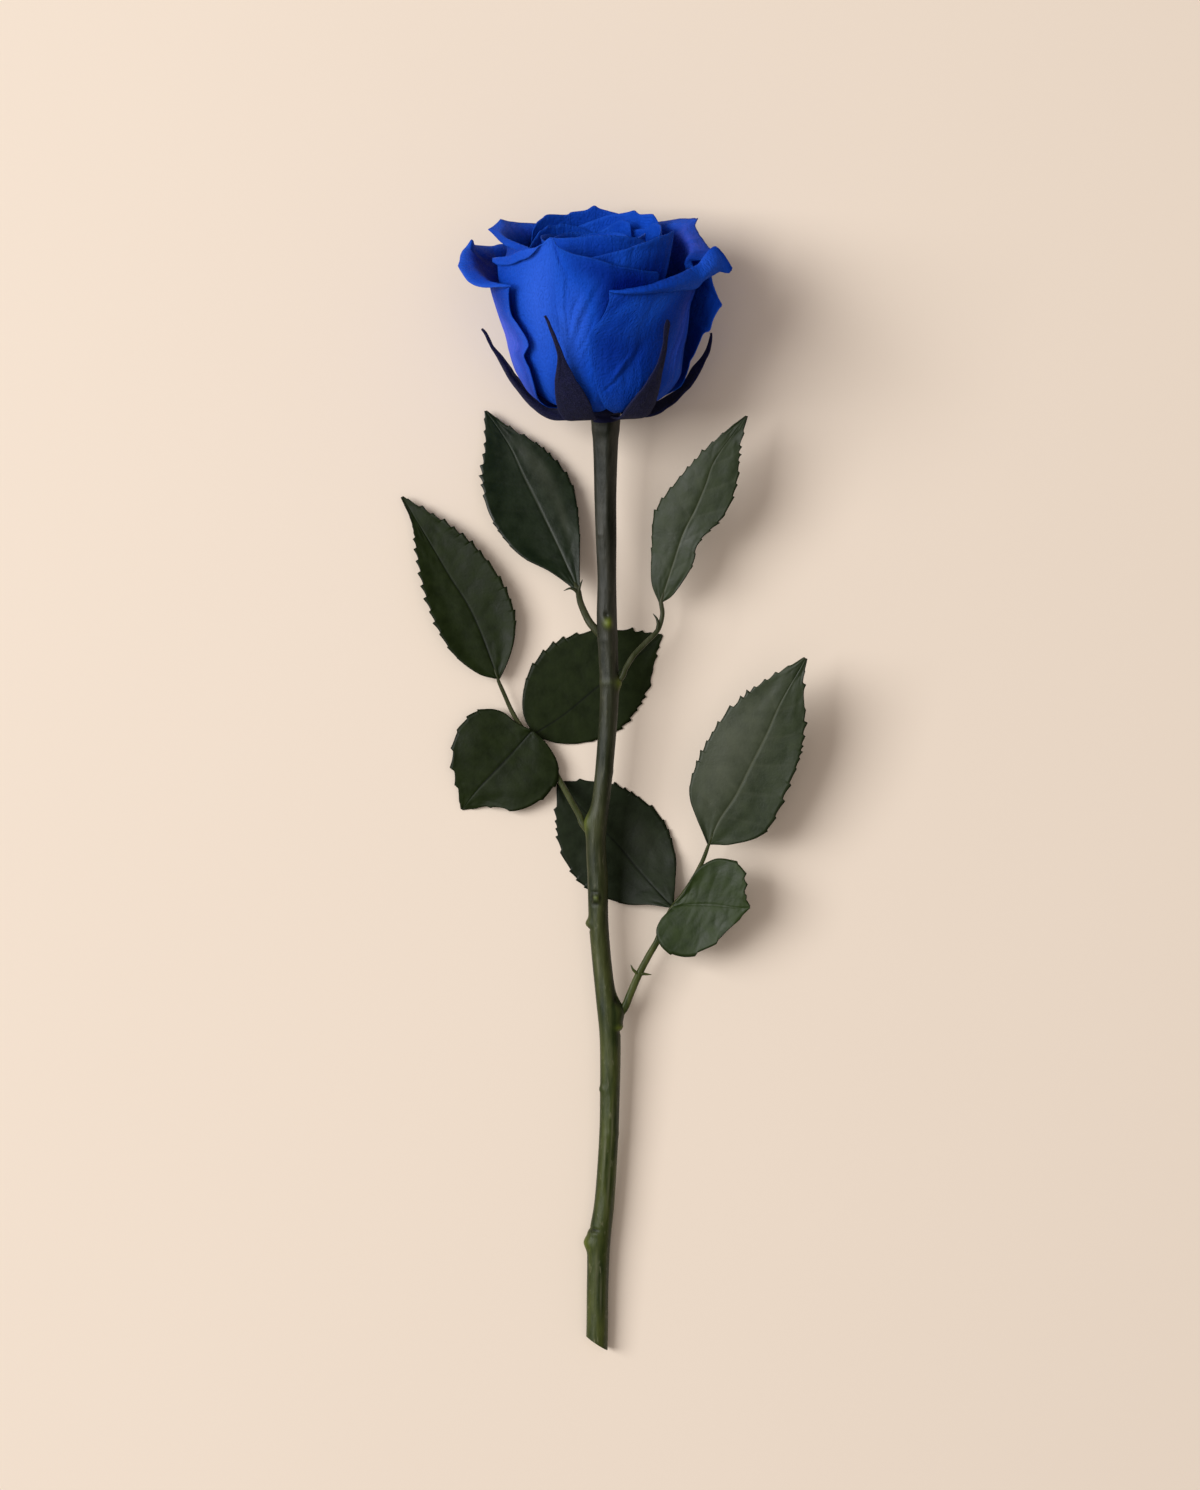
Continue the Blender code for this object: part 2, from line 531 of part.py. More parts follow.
def build_bloom(parts, materials):
    pose = bpy.data.objects.new("bloom_pose", None)
    pose.location = [c * MM for c in BLOOM_BASE]
    pose.rotation_euler = (math.radians(BLOOM_RISE - 90), 0, math.radians(BLOOM_LEAN))
    parts.objects.link(pose)
    build_receptacle(pose, parts, materials["sepal_receptacle"])
    petals = dict(OUTER_PETALS)
    for number in range(HEART_PETALS):
        petals["petal_heart_%02d" % (number + 1)] = heart_petal(number)
    for name, petal in petals.items():
        outer = name in OUTER_PETALS
        columns, rows = (10, 10) if outer else (9, 6)
        obj = thin_sheet(
            name, partial(petal_point, petal), columns, rows, PETAL_THICKNESS,
            (0, 1), materials["petal_blue"], parts,
        )
        obj.parent = pose
    for name, sepal in SEPALS.items():
        obj = thin_sheet(
            name, partial(sepal_point, sepal), 3, 9, SEPAL_THICKNESS,
            (-1, 1), materials["sepal_navy"], parts,
        )
        obj.parent = pose


def build_leaves(parts, materials):
    for name, stalk in STALKS.items():
        path = stalk["path"]
        radii = np.linspace(*stalk["radii"], len(path))
        tube(name, path, radii, 3 * len(path), 2, materials["stem_stalk"], parts)
    for name, blade in BLADES.items():
        thin_sheet(
            name, partial(blade_point, blade), 8, 9, LEAF_THICKNESS,
            (-1, 1), materials["leaf_green"], parts,
        )


def main():
    clear_scene()
    parts = new_collection("preserved_rose")
    cutters = new_collection("cutters")
    cutters.hide_render = True
    roughness = {
        "petal_blue": 0.75, "sepal_navy": 0.9, "sepal_receptacle": 0.9, "leaf_green": 0.45,
        "stem_green": 0.5, "stem_stalk": 0.5,
    }
    materials = {name: plant_material(name, value) for name, value in roughness.items()}
    build_stem(parts, cutters, materials["stem_green"])
    build_bloom(parts, materials)
    build_leaves(parts, materials)


main()
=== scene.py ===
"""The looks of the preserved blue rose: its petals, sepals, leaves and stem built finely over the
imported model, lying on a pale table under soft light and seen from straight above.

Tables are in millimetres and degrees, in the frame of the model: the stem runs along +Y from its
cut end to the bloom and z = 0 is the table.  Heights and azimuths of the bloom are in its own
frame, tilted at the end of the stem: azimuth 0 faces up, +90 is the right side, 180 is below.
"""
import math

import bmesh
import bpy
import numpy as np
from mathutils import Euler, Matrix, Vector


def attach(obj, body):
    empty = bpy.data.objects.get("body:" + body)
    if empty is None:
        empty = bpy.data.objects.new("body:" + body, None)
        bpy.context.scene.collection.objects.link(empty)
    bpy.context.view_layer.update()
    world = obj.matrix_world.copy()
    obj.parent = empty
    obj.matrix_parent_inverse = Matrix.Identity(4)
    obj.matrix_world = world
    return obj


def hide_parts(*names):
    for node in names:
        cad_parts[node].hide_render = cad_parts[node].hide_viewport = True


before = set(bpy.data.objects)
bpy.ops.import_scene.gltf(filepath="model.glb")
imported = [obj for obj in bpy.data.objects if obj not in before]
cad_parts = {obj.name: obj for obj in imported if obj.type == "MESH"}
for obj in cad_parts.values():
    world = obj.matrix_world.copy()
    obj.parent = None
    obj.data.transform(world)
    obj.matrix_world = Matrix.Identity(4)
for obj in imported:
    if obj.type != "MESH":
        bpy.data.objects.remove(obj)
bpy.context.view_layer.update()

MM = 0.001
PETAL_THICKNESS = 0.24
SEPAL_THICKNESS = 0.5
LEAF_THICKNESS = 0.3
ROSE_MIDDLE = (0, 0.03, 0)  # in metres, as are the places of the lights and the camera
PICTURE_SHAPE = 1200 / 1490  # width to height

# ---- The bloom's frame and its nested cups, as in the part ----
BLOOM_BASE = (1.2, 90, 17.66)
BLOOM_RISE = 19
BLOOM_LEAN = 3
BELLY_RADIUS = 23.2
SEAT_GAP = 0.35
DOME_RADIUS = 5.2
DOME_FOOT = 2
DOME_HEIGHT = 8.6
SEAT_CLIMB = 8
RISE_POWER = (1.7, 1.3)  # rows crowd towards the foot by this power, outermost and at the axis
CLOSING = 0.01  # share by which a cup closes for each mm of depth, from a height and over a span
CLOSING_HEIGHT = 22
CLOSING_SPAN = 26
FLARE_DEPTH = 9
BODY_PROFILE = [
    (2, 5.2), (2.6, 10), (4.2, 14.5), (6.6, 17.6), (9.7, 20), (13, 21.5), (17, 22.5), (21.5, 23.2),
    (26, 24.3), (33, 26), (38, 26.6), (44, 26.8), (52, 26.8),
]

# ---- Petals ----
# left, right: the side edges from the foot up, as azimuths spaced evenly or as (azimuth, height).
# crest: (azimuth, height) where the cup ends, from left to right.  fold and rim: points (x, y, z)
# that the lip passes from left to right.  bulge: how far the lip stands out between the two.
# A petal without a fold may have a lip of a given length that turns outwards around a bend.
# free_left: a left edge that stands away from the cup.  lift_right: how far the right edge stands
# out from it.  tuck: how far it winds inwards to the right.  wrinkle: height of the petal's waves.
# The rest is placed on the petal by u from left to right and v from foot to rim, each 0 to 1:
# painted_shading: painted light (+) and painted shade (-), and painted_sheen: violet painted sheen, as (u,
# v, width, height, strength);
# creases: (from, to, width, depth); tips: (u, width, dx, dy, dz), where the rim runs out to a point.
PETALS = {
    "petal_front_left": dict(
        depth=1.5, grid=(130, 130), left=[-44, -74, -82, -84, -83],
        right=[(-8, 2.5), (16, 8.7), (22, 15.2), (28, 21.2), (31, 27.4), (34, 32.3), (36, 35.8),
               (36, 38.7)],
        crest=[(-83, 39.3), (-66, 40.8), (-57, 42), (-49, 43.5), (-42, 44.6), (-37, 45.6), (-32, 47),
               (-26, 48.4), (-23, 46.9), (-19, 45.7), (-13, 44.7), (-4, 43.9), (4, 42.6), (11, 41.4),
               (19, 40.5), (27, 39.5), (36, 38.7)],
        fold=[(-25.9, 126.3, 32.5), (-24.1, 125.7, 39.5), (-21.5, 125.5, 45), (-19.1, 126.1, 48.5),
              (-17.1, 126.4, 50.6), (-15.2, 126.5, 51.8), (-13.5, 127.2, 52.9), (-11.6, 128.4, 54.3),
              (-10.4, 127, 54.4), (-8.8, 125.7, 54.7), (-5.9, 124.4, 55), (-2.4, 123.7, 55.2),
              (1.2, 122.7, 54.8), (4, 121.8, 54.1), (7.4, 121.3, 53), (10.7, 121, 51.3),
              (13.8, 120.9, 49.2)],
        rim=[(-25.9, 125.4, 33), (-24.1, 123.9, 39), (-21.3, 123.4, 45), (-19.1, 123.9, 48.3),
             (-17.1, 124.4, 50.5), (-15.6, 125.5, 52), (-13.5, 127.5, 53), (-11.7, 128.7, 54.3),
             (-10.4, 127.1, 54.5), (-8.8, 125.8, 54.8), (-5.9, 124.6, 55.1), (-2.4, 123.8, 55.3),
             (1.2, 122.9, 54.9), (4, 122, 54.2), (7.4, 121.5, 53.1), (10.7, 121.2, 51.4),
             (13.8, 121.1, 49.3)],
        wrinkle=0.4,
        painted_shading=[(0.34, 0.72, 0.16, 0.34, 0.75), (0.62, 0.55, 0.1, 0.3, 0.25), (0.8, 0.85, 0.16, 0.22, -0.75),
              (0.88, 0.55, 0.12, 0.35, -0.55), (0.95, 0.92, 0.12, 0.12, -0.5),
              (0.15, 0.35, 0.1, 0.3, -0.25), (0.66, 0.74, 0.07, 0.16, 0.55), (0.55, 0.62, 0.06, 0.12, 0.35),
              (0.66, 0.95, 0.08, 0.05, -0.3)],
        creases=[((0.558, 0.87), (0.574, 0.55), 0.32, -0.42), ((0.574, 0.55), (0.55, 0.3), 0.5, -0.25),
                 ((0.45, 1), (0.57, 0.9), 0.9, 0.7), ((0.57, 0.9), (0.63, 0.8), 1.2, 0.35),
                 ((0.74, 0.92), (0.61, 0.52), 0.5, 0.32), ((0.7, 0.88), (0.6, 0.58), 0.4, -0.3),
                 ((0.79, 0.86), (0.64, 0.46), 0.45, -0.34), ((0.76, 0.8), (0.65, 0.5), 0.5, 0.3),
                 ((0.66, 0.86), (0.59, 0.6), 0.4, 0.25), ((0.83, 0.8), (0.69, 0.45), 0.5, 0.25),
                 ((0.84, 0.7), (0.72, 0.4), 0.45, -0.25), ((0.5, 0.8), (0.53, 0.5), 0.5, 0.2)],
    ),
    "petal_front_right": dict(
        depth=0, grid=(130, 130),
        left=[(14, 2), (1, 5.6), (-3, 8.9), (-5, 12), (-6, 15.3), (-7, 17.8), (-7, 20.4), (-7, 22.4),
              (-7, 25), (-5, 26.8), (0, 29.3), (3, 31.8), (5, 34.3), (5, 36.3)],
        right=[(46, 2), (50, 4), (60, 6), (65, 10.1), (62, 13.7), (61, 17.5), (64, 21), (63, 24.9),
               (61, 28.3), (63, 30.8), (64, 32.5), (66, 34.5)],
        crest=[(5, 36.3), (11, 36), (19, 35.9), (26, 35.8), (33, 35.9), (40, 35.9), (48, 35.8), (55, 35.8),
               (60, 35.6), (63, 35.4), (64, 35.3), (65, 35.2), (66, 35), (66, 34.5)],
        fold=[(2.2, 116, 54.7), (4.7, 116.2, 54.6), (8.3, 116.9, 54.2), (11.4, 117.6, 53.2),
              (14.3, 118.7, 51.9), (16.9, 119.7, 50.2), (19.6, 121.1, 47.9), (21.8, 122.5, 45.5),
              (23.7, 123.5, 44.2), (25.3, 125.3, 43.6), (26.6, 126.8, 43.4), (27.4, 127.5, 43.2),
              (27.9, 127.8, 43), (28.5, 127, 42.6)],
        rim=[(2.2, 115.8, 54.9), (5, 115.4, 54.7), (8.3, 115.3, 53.8), (11.9, 115.7, 52.4),
             (14.5, 116.2, 51), (16.9, 116.6, 49.3), (19.9, 117.1, 46.4), (23, 118, 42),
             (24.7, 119.7, 41.8), (26.6, 121, 41), (28.6, 122.2, 40), (30.2, 122.1, 38.8),
             (31.7, 122.3, 38), (31.2, 124.2, 39.2)],
        bulge=[0.3, 0.6, 0.9, 1.2, 1.4, 1.5, 1.6, 1.8, 1.8, 1.5, 1, 0.6, 0.4, 0.3],
        wrinkle=0.3,
        painted_sheen=[(0.76, 0.55, 0.13, 0.22, 0.26), (0.64, 0.62, 0.06, 0.2, 0.2)],
        painted_shading=[(0.08, 0.62, 0.1, 0.22, -0.35), (0.28, 0.58, 0.22, 0.18, -0.65),
              (0.66, 0.72, 0.24, 0.12, -0.6), (0.2, 0.9, 0.3, 0.07, -0.6), (0.36, 0.74, 0.14, 0.1, 0.35),
              (0.14, 0.86, 0.08, 0.05, 0.5), (0.97, 0.55, 0.06, 0.5, -0.7), (0.55, 0.4, 0.2, 0.2, -0.3),
              (0.75, 0.93, 0.2, 0.05, 0.25)],
        creases=[((0.25, 0.54), (0.12, 0.44), 0.5, -0.55), ((0.28, 0.5), (0.17, 0.44), 0.6, 0.45),
                 ((0.15, 0.43), (0.05, 0.39), 0.45, 0.35), ((0.36, 0.62), (0.22, 0.4), 1.2, 0.4),
                 ((0.66, 0.7), (0.6, 0.34), 0.5, 0.3), ((0.72, 0.72), (0.68, 0.34), 0.45, -0.3),
                 ((0.78, 0.74), (0.76, 0.34), 0.5, 0.3), ((0.84, 0.74), (0.84, 0.36), 0.45, -0.3)],
        tips=[(0.915, 0.035, 0, 0.6, 0.3), (0.975, 0.03, 0.5, -0.3, 0)],
    ),
    "petal_left": dict(
        depth=0, grid=(120, 120), left=[-118, -135, -141, -143, -141],
        right=[(-82, 2), (-62, 4.5), (-58, 6.3), (-51, 9.7), (-49, 12.2), (-49, 14.6), (-50, 16.6),
               (-53, 18.3), (-51, 19.9), (-47, 21.9), (-47, 23.2), (-49, 24.9), (-52, 26.8), (-56, 29.1),
               (-55, 32.2), (-54, 34.3), (-52, 36.5)],
        crest=[(-141, 32), (-126, 33.5), (-111, 34.5), (-96, 34.5), (-81, 34.8), (-66, 35.8), (-52, 36.6)],
        fold=[(-19.8, 130.3, 12.5), (-22, 130.6, 13.5), (-23.9, 131, 14.5), (-27.1, 130.3, 16.5),
              (-30.2, 130.2, 19.5), (-31, 129.9, 22), (-31.5, 128.8, 24.5), (-31.4, 127.6, 26.5),
              (-31.1, 126.2, 28.5), (-30.6, 124.7, 30.5), (-29.5, 122.9, 33.5), (-28.2, 121.4, 36.5),
              (-26.7, 120.1, 39.5), (-24.9, 119.2, 42.3), (-23.2, 118.5, 44.6), (-21.3, 118.3, 46)],
        rim=[(-19.3, 130.8, 12), (-21.7, 131.5, 12.5), (-23.9, 132.1, 13), (-27.1, 131.2, 15),
             (-30.8, 131.1, 18), (-31.3, 132.1, 21), (-32.8, 130.3, 21.5), (-34, 128.4, 23),
             (-34.3, 126.3, 25.5), (-34.4, 124.8, 27.5), (-33.2, 122.5, 31), (-31.7, 120.4, 34.5),
             (-29.1, 118.9, 38.5), (-26.6, 118.3, 41), (-23.9, 118.3, 43.5), (-21, 118.1, 45.5)],
        lift_right=[0.2, 0.7, 1.1, 0.9, 0.6], wrinkle=0.3,
        painted_sheen=[(0.64, 0.6, 0.26, 0.17, 1), (0.62, 0.3, 0.26, 0.17, 0.7)],
        painted_shading=[(0.45, 0.875, 0.45, 0.085, -1), (0.93, 0.45, 0.05, 0.4, -0.5), (0.62, 1, 0.5, 0.025, 0.6),
              (0.7, 0.55, 0.2, 0.16, 0.7), (0.97, 0.74, 0.08, 0.14, 0.6)],
        creases=[((0.34, 0.99), (0.44, 0.8), 0.5, -0.4), ((0.36, 0.99), (0.47, 0.82), 0.6, 0.3)],
        tips=[(0.353, 0.03, 0.2, 0.5, 0.2), (0.58, 0.05, -0.2, 0, 0)],
    ),
    "petal_right": dict(
        depth=0.3, grid=(90, 100), left=[94, 86, 80, 78, 80], right=[130, 148, 156, 156, 150],
        crest=[(80, 31), (98, 33), (115, 34), (132, 34), (150, 32)], lip=[3, 3, 3, 3, 3],
        turn=[35, 35, 40, 40, 40], bend=[5, 5],
        free_left=[(6.6, 92.5, 18), (14.7, 94.1, 19.5), (18.9, 96, 20.5), (20.1, 97.2, 21),
                   (20.8, 98.7, 22.5), (21.5, 100.6, 24), (21.9, 102.1, 25.5), (22.9, 103.5, 26.5),
                   (24.3, 106.3, 28), (25.3, 108.3, 29.5), (26.8, 108.9, 31), (27.6, 111.5, 32),
                   (28.8, 113.8, 33), (29.6, 114.9, 33.5), (28.8, 116.3, 34.5), (27.5, 118.8, 36),
                   (26.8, 121.3, 37)],
        wrinkle=0.3,
    ),
    "petal_under": dict(
        depth=0.8, grid=(80, 80), left=[170, 158, 157, 158, 164], right=[204, 216, 216, 215, 208],
        crest=[(164, 27), (175, 29), (186, 30), (197, 29), (208, 27)],
        lip=[4, 9.5, 11, 9.5, 4], turn=[60, 65, 65, 65, 60], bend=[7, 7], wrinkle=0.25,
    ),
    "petal_second_back_right": dict(
        depth=2.7, grid=(80, 80), left=[92, 84, 80, 80, 80], right=[130, 152, 160, 160, 160],
        crest=[(80, 33.5), (96, 34.5), (112, 36.5), (128, 38), (144, 38.5), (160, 38)],
        fold=[(21, 123.8, 34.5), (21, 125.2, 34.5), (21.7, 126.4, 34.5), (22.7, 127.5, 33.5),
              (23.2, 128.6, 32.5), (22.8, 130.3, 30.5), (21.9, 132, 28.5), (21, 133.8, 26),
              (20.5, 135.2, 24), (19.6, 136, 22), (17.7, 136.4, 19.5), (15.7, 136.5, 17.5),
              (13.3, 136.5, 15.5), (10.6, 136.3, 13.5), (7.9, 135.7, 12.5)],
        rim=[(22.9, 123.5, 35), (22.2, 125.6, 34), (24.9, 125.9, 33.5), (26.3, 127.5, 32),
             (26.6, 128.5, 31), (25.3, 130.8, 28.5), (24.1, 132.7, 26.5), (23.2, 135.1, 24),
             (23.5, 137.1, 22.5), (22, 137.2, 21), (19.4, 137.5, 18.5), (17.2, 137.4, 16.5),
             (14.3, 137.4, 14.5), (11.1, 137.2, 12.5), (7.9, 136.6, 11.5)],
        wrinkle=0.25, painted_sheen=[(0.4, 0.9, 0.2, 0.12, 0.45)], painted_shading=[(0.45, 0.62, 0.5, 0.2, -0.6)],
        tips=[(0.544, 0.035, 0.5, 0.7, 0), (0.278, 0.04, 0.8, -0.2, 0)],
    ),
    "petal_second_back_left": dict(
        depth=2.9, grid=(80, 80), left=[-146, -158, -162, -162, -162], right=[-112, -84, -72, -68, -68],
        crest=[(-162, 37.5), (-138, 38.4), (-115, 38.6), (-92, 38.2), (-68, 37.5)],
        fold=[(-9.9, 136.1, 15), (-12.8, 136, 16), (-16, 135.9, 17), (-20.6, 135.7, 19.5), (-23.2, 135, 23),
              (-24.3, 133.4, 27), (-23.3, 131.7, 31), (-21.5, 130.3, 34.5), (-19.8, 129.1, 37.5),
              (-18.3, 128.1, 40), (-16.9, 127.3, 42)],
        rim=[(-9.9, 137, 14), (-12.8, 136.7, 15), (-16, 136.7, 16), (-20.9, 136.7, 18), (-24, 136.7, 20.5),
             (-26.5, 134.4, 23.5), (-25.1, 131.8, 28), (-23.3, 129.8, 32), (-21, 128.2, 36),
             (-19, 127.3, 39), (-17, 127.2, 41.5)],
        wrinkle=0.25, painted_sheen=[(0.35, 0.93, 0.2, 0.06, 0.2)], painted_shading=[(0.6, 0.75, 0.5, 0.15, -0.5)],
        tips=[(0.506, 0.04, -0.8, 0.1, 0), (0.405, 0.035, -0.3, 0.5, 0)],
    ),
    "petal_second_right": dict(
        depth=2.9, grid=(90, 90), left=[36, 2, -12, -16, -14],
        right=[(70, 3), (62, 12), (50, 22), (43, 32.5), (45, 36.1), (48, 38.3), (51, 41.7), (54, 43.9),
               (55, 45.5), (57, 47.1)],
        crest=[(-14, 43.4), (-5, 43.8), (2, 44.3), (8, 44.7), (14, 45.1), (21, 45.5), (27, 46), (35, 46.4),
               (43, 46.8), (51, 47), (57, 47.2)],
        wrinkle=0.25,
        painted_shading=[(0.22, 0.93, 0.12, 0.12, -0.55), (0.62, 0.82, 0.3, 0.12, -0.65),
              (0.9, 0.85, 0.22, 0.3, -0.5)],
        creases=[((0.3, 0.95), (0.62, 0.6), 1.5, 0.25), ((0.5, 0.99), (0.9, 0.93), 0.8, 0.3)],
    ),
    "petal_second_back": dict(
        depth=4.2, grid=(90, 80), left=[162, 148, 142, 144, 148],
        right=[(198, 3), (216, 12), (226, 24), (231, 34), (231, 39.7), (231, 41.4)],
        crest=[(148, 43), (155, 44.4), (163, 45.4), (169, 46), (176, 46.8), (180, 47.6), (186, 46.6),
               (196, 46.4), (200, 45.9), (214, 46.7), (219, 46.1), (224, 45.4), (229, 43.7), (231, 41.4)],
        wrinkle=0.2, painted_shading=[(0.4, 0.9, 0.5, 0.2, -0.3)],
    ),
    "petal_second_front": dict(
        depth=4.2, grid=(60, 60), left=[-58, -72, -78, -78, -70], right=[-22, -4, 6, 8, 4],
        crest=[(-70, 40), (-51, 42), (-33, 43), (-14, 42), (4, 40)], wrinkle=0.2,
    ),
    "petal_heart_01": dict(
        depth=6, grid=(80, 60), left=[204, 190, 184, 182, 182], right=[244, 262, 270, 272, 272],
        crest=[(182, 41.4), (186, 42.1), (192, 43), (200, 43.8), (208, 44.5), (213, 44.2), (221, 44.7),
               (225, 44), (231, 43.7), (238, 42.1), (250, 40), (262, 39), (272, 37)],
        wrinkle=0.15,
    ),
    "petal_heart_02": dict(
        depth=7.05, grid=(90, 80), left=[-22, -38, -44, -46, -45], right=[24, 40, 46, 50, 52],
        crest=[(-45, 47), (-36, 47), (-28, 47.2), (-19, 47.4), (-10, 47.6), (-4, 47.8), (12, 47.6),
               (30, 46.6), (45, 45.1), (52, 42.3)],
        wrinkle=0.15, painted_shading=[(0.5, 0.85, 0.6, 0.16, -0.5)],
    ),
    "petal_heart_03": dict(
        depth=5.6, grid=(90, 70), left=[120, 116, 114, 116, 118], right=[165, 182, 192, 196, 198],
        crest=[(118, 43), (122, 44.9), (126, 46.2), (129, 46.6), (142, 46.1), (147, 46.9), (153, 46.4),
               (161, 45.9), (168, 45.7), (176, 44.9), (182, 44.3), (188, 43.7), (193, 43.1), (198, 41.5)],
        wrinkle=0.2,
    ),
    "petal_heart_06": dict(
        depth=8.2, grid=(70, 60), left=[160, 150, 145, 143, 143], right=[215, 232, 238, 240, 240],
        crest=[(143, 44.6), (152, 45.2), (160, 44.5), (168, 43.4), (175, 42.4), (183, 42), (192, 41.5),
               (206, 41), (222, 41), (240, 40)],
        wrinkle=0.15,
    ),
    "petal_heart_08": dict(
        depth=7.2, grid=(70, 60), left=[80, 66, 62, 62, 62], right=[130, 160, 168, 172, 172],
        crest=[(62, 43), (80, 45), (100, 45.6), (117, 45.1), (126, 43.6), (137, 43), (148, 42.2), (158, 41),
               (165, 40.9), (172, 41)],
        wrinkle=0.15,
    ),
}
# The rest of the heart, wound round the axis: depth, middle azimuth, half its spread, top height.
INNER_HEART = {
    "petal_heart_04": (9.2, 276.5, 62, 43.4),
    "petal_heart_05": (10.2, 54, 66, 43.6),
    "petal_heart_07": (11.2, -31, 72, 43.2),
    "petal_heart_09": (12.3, 244, 76, 42.8),
    "petal_heart_10": (13.4, 21.5, 80, 42.8),
    "petal_heart_11": (14.5, 159, 86, 42.4),
    "petal_heart_12": (15.6, 296.5, 92, 42),
    "petal_heart_13": (16.8, 74, 98, 41.8),
    "petal_heart_14": (18, 211.5, 104, 41.4),
    "petal_heart_15": (19.2, 349, 112, 41.2),
}

# ---- Sepals: their two margins, (x, y, z) from base to tip; crown: how far the middle stands up ----
SEPALS = {
    "sepal_front_left": dict(
        left=[(-0.7, 88.8, 21), (-4.9, 87.8, 26), (-8.3, 87.6, 29), (-9.7, 88.9, 32.5), (-10.4, 90.5, 36),
              (-10.7, 92.7, 39), (-10.8, 95.4, 41.5), (-10.3, 98.3, 43.5), (-10, 101, 45.3),
              (-10.3, 102.8, 46.2), (-11, 105.1, 47.4), (-11.9, 107.4, 48.6), (-12.6, 109.4, 49.6),
              (-13.2, 110.6, 50)],
        right=[(-0.6, 88.7, 22), (-1, 87.9, 27.5), (-1.7, 89.3, 33.5), (-2.6, 91.1, 38), (-4, 93.5, 41.4),
               (-5.9, 96.3, 43.6), (-7.7, 99.3, 45.2), (-8.8, 101.8, 46.4), (-10, 104.4, 47.6),
               (-11, 106.9, 48.8), (-12.1, 109.2, 49.8), (-13, 110.6, 50.1)],
    ),
    "sepal_front_right": dict(
        left=[(2.6, 88.8, 22), (4.4, 88, 27), (5.4, 88.7, 32), (6.3, 89.8, 35), (7.9, 91.5, 38.4),
              (9.8, 93.7, 40.8), (11.6, 96.1, 42.1), (13.1, 98.4, 42.8), (14.2, 101, 43.4),
              (15, 104.2, 44.1), (15.2, 106.5, 45), (15.5, 108.8, 46), (15.9, 110, 46.5)],
        right=[(3.4, 89, 21.5), (7.3, 88.3, 25), (10.9, 88.4, 29), (12.6, 89.9, 32), (13.5, 91.9, 34.5),
               (14.4, 95.2, 38.3), (14.8, 98.1, 40.5), (15.2, 100.2, 41.5), (15.8, 103.2, 42.6),
               (16.2, 106.2, 44), (16.6, 108.9, 45.3), (16.3, 110, 46.2)],
    ),
    "sepal_left": dict(
        crown=3.2,
        left=[(-2.7, 90.8, 15), (-6.2, 91, 13), (-9.4, 91.3, 12.5), (-11.9, 92, 12), (-14.1, 93.2, 12),
              (-16.1, 94.7, 12), (-18, 96.4, 12.4), (-19.7, 98.3, 13.2), (-21.2, 100, 14),
              (-22.4, 101.9, 15), (-24.4, 104.5, 16), (-26.3, 106.4, 17), (-27, 107.8, 17.5),
              (-28, 109.7, 18), (-29, 110.7, 18.3)],
        right=[(-2.9, 89.2, 18.5), (-5.6, 88.6, 17), (-8.3, 88.6, 15.6), (-11, 88.7, 14.6),
               (-13.2, 89.4, 14.2), (-15.2, 90.6, 14), (-17.2, 92.3, 14), (-19.1, 94.5, 14.4),
               (-20.8, 96.7, 15), (-22.3, 98.6, 15.8), (-24.3, 102.1, 17), (-26.5, 106.1, 17.9),
               (-27.2, 107.4, 18.8), (-28.1, 109.4, 18.7), (-28.9, 110.4, 18.5)],
    ),
    "sepal_right": dict(
        left=[(5.2, 90, 18.5), (8.3, 89.3, 19.5), (11, 89, 20), (13.5, 89.5, 20), (15.9, 90.8, 20),
              (18.4, 92.6, 19.7), (20.6, 94.9, 19.3), (22.3, 96.8, 19), (23.8, 99.1, 18.7),
              (25.3, 101.6, 18.5), (26.5, 104.5, 18.4), (27.3, 106.9, 18.6), (27.4, 108.4, 18.8),
              (27.2, 109.6, 19)],
        right=[(4.7, 91.6, 14.5), (7.9, 91.8, 12), (11.4, 92.3, 11.5), (14.1, 93.3, 11.5),
               (16.3, 94.5, 11.8), (18.3, 95.7, 12.2), (19.7, 96.9, 13), (21, 98.5, 13.8),
               (22.7, 101.4, 14.8), (24.9, 103.8, 15.8), (26.1, 105.7, 16.6), (26.7, 107.6, 17.4),
               (27, 108.7, 18), (27.2, 109.6, 18.7)],
    ),
    "sepal_under": dict(
        left=[(-1, 89.5, 14), (-4, 92.8, 7), (-5, 96.5, 4.6), (-4.6, 101, 3.2), (-3.4, 106, 2.6),
              (-1.6, 110, 2.4), (0.2, 113, 2.4)],
        right=[(3.2, 89.5, 14), (6, 92.8, 7), (6.6, 96.5, 4.6), (5.6, 101, 3.2), (3.8, 106, 2.6),
               (2, 110, 2.4), (0.8, 113, 2.4)],
    ),
}

# ---- Stem: x, y, z of its middle and its radius ----
STEM = [
    (1.2, 89.2, 17.2, 3.8), (1.2, 85, 16.5, 3.3), (1.2, 77.5, 15.6, 2.95), (1.2, 69, 14.7, 2.75),
    (1.4, 59.5, 13.9, 2.6), (1.6, 49.5, 13.1, 2.35), (1.6, 39.5, 12.4, 2.55), (2, 29.5, 11.7, 2.45),
    (2.2, 19.5, 11, 2.35), (1.2, 5, 10.1, 2.25), (0.2, -5, 9.5, 2.25), (-1, -15, 9, 2.45),
    (-0.6, -25, 8.4, 2.55), (-0.4, -35, 7.8, 2.45), (0.4, -45, 7.3, 2.4), (1.5, -55, 6.8, 2.5),
    (2.5, -65, 6.3, 2.6), (2.4, -80, 5.6, 2.45), (2.1, -90, 5.1, 2.4), (1.1, -105, 4.4, 2.5),
    (-0.2, -115, 3.9, 2.8), (-0.6, -125, 3.4, 2.7), (-0.7, -135, 2.95, 2.7), (-0.9, -146, 2.6, 2.7),
]
FACET_EDGE = 14  # direction round the stem of one of its five soft edges
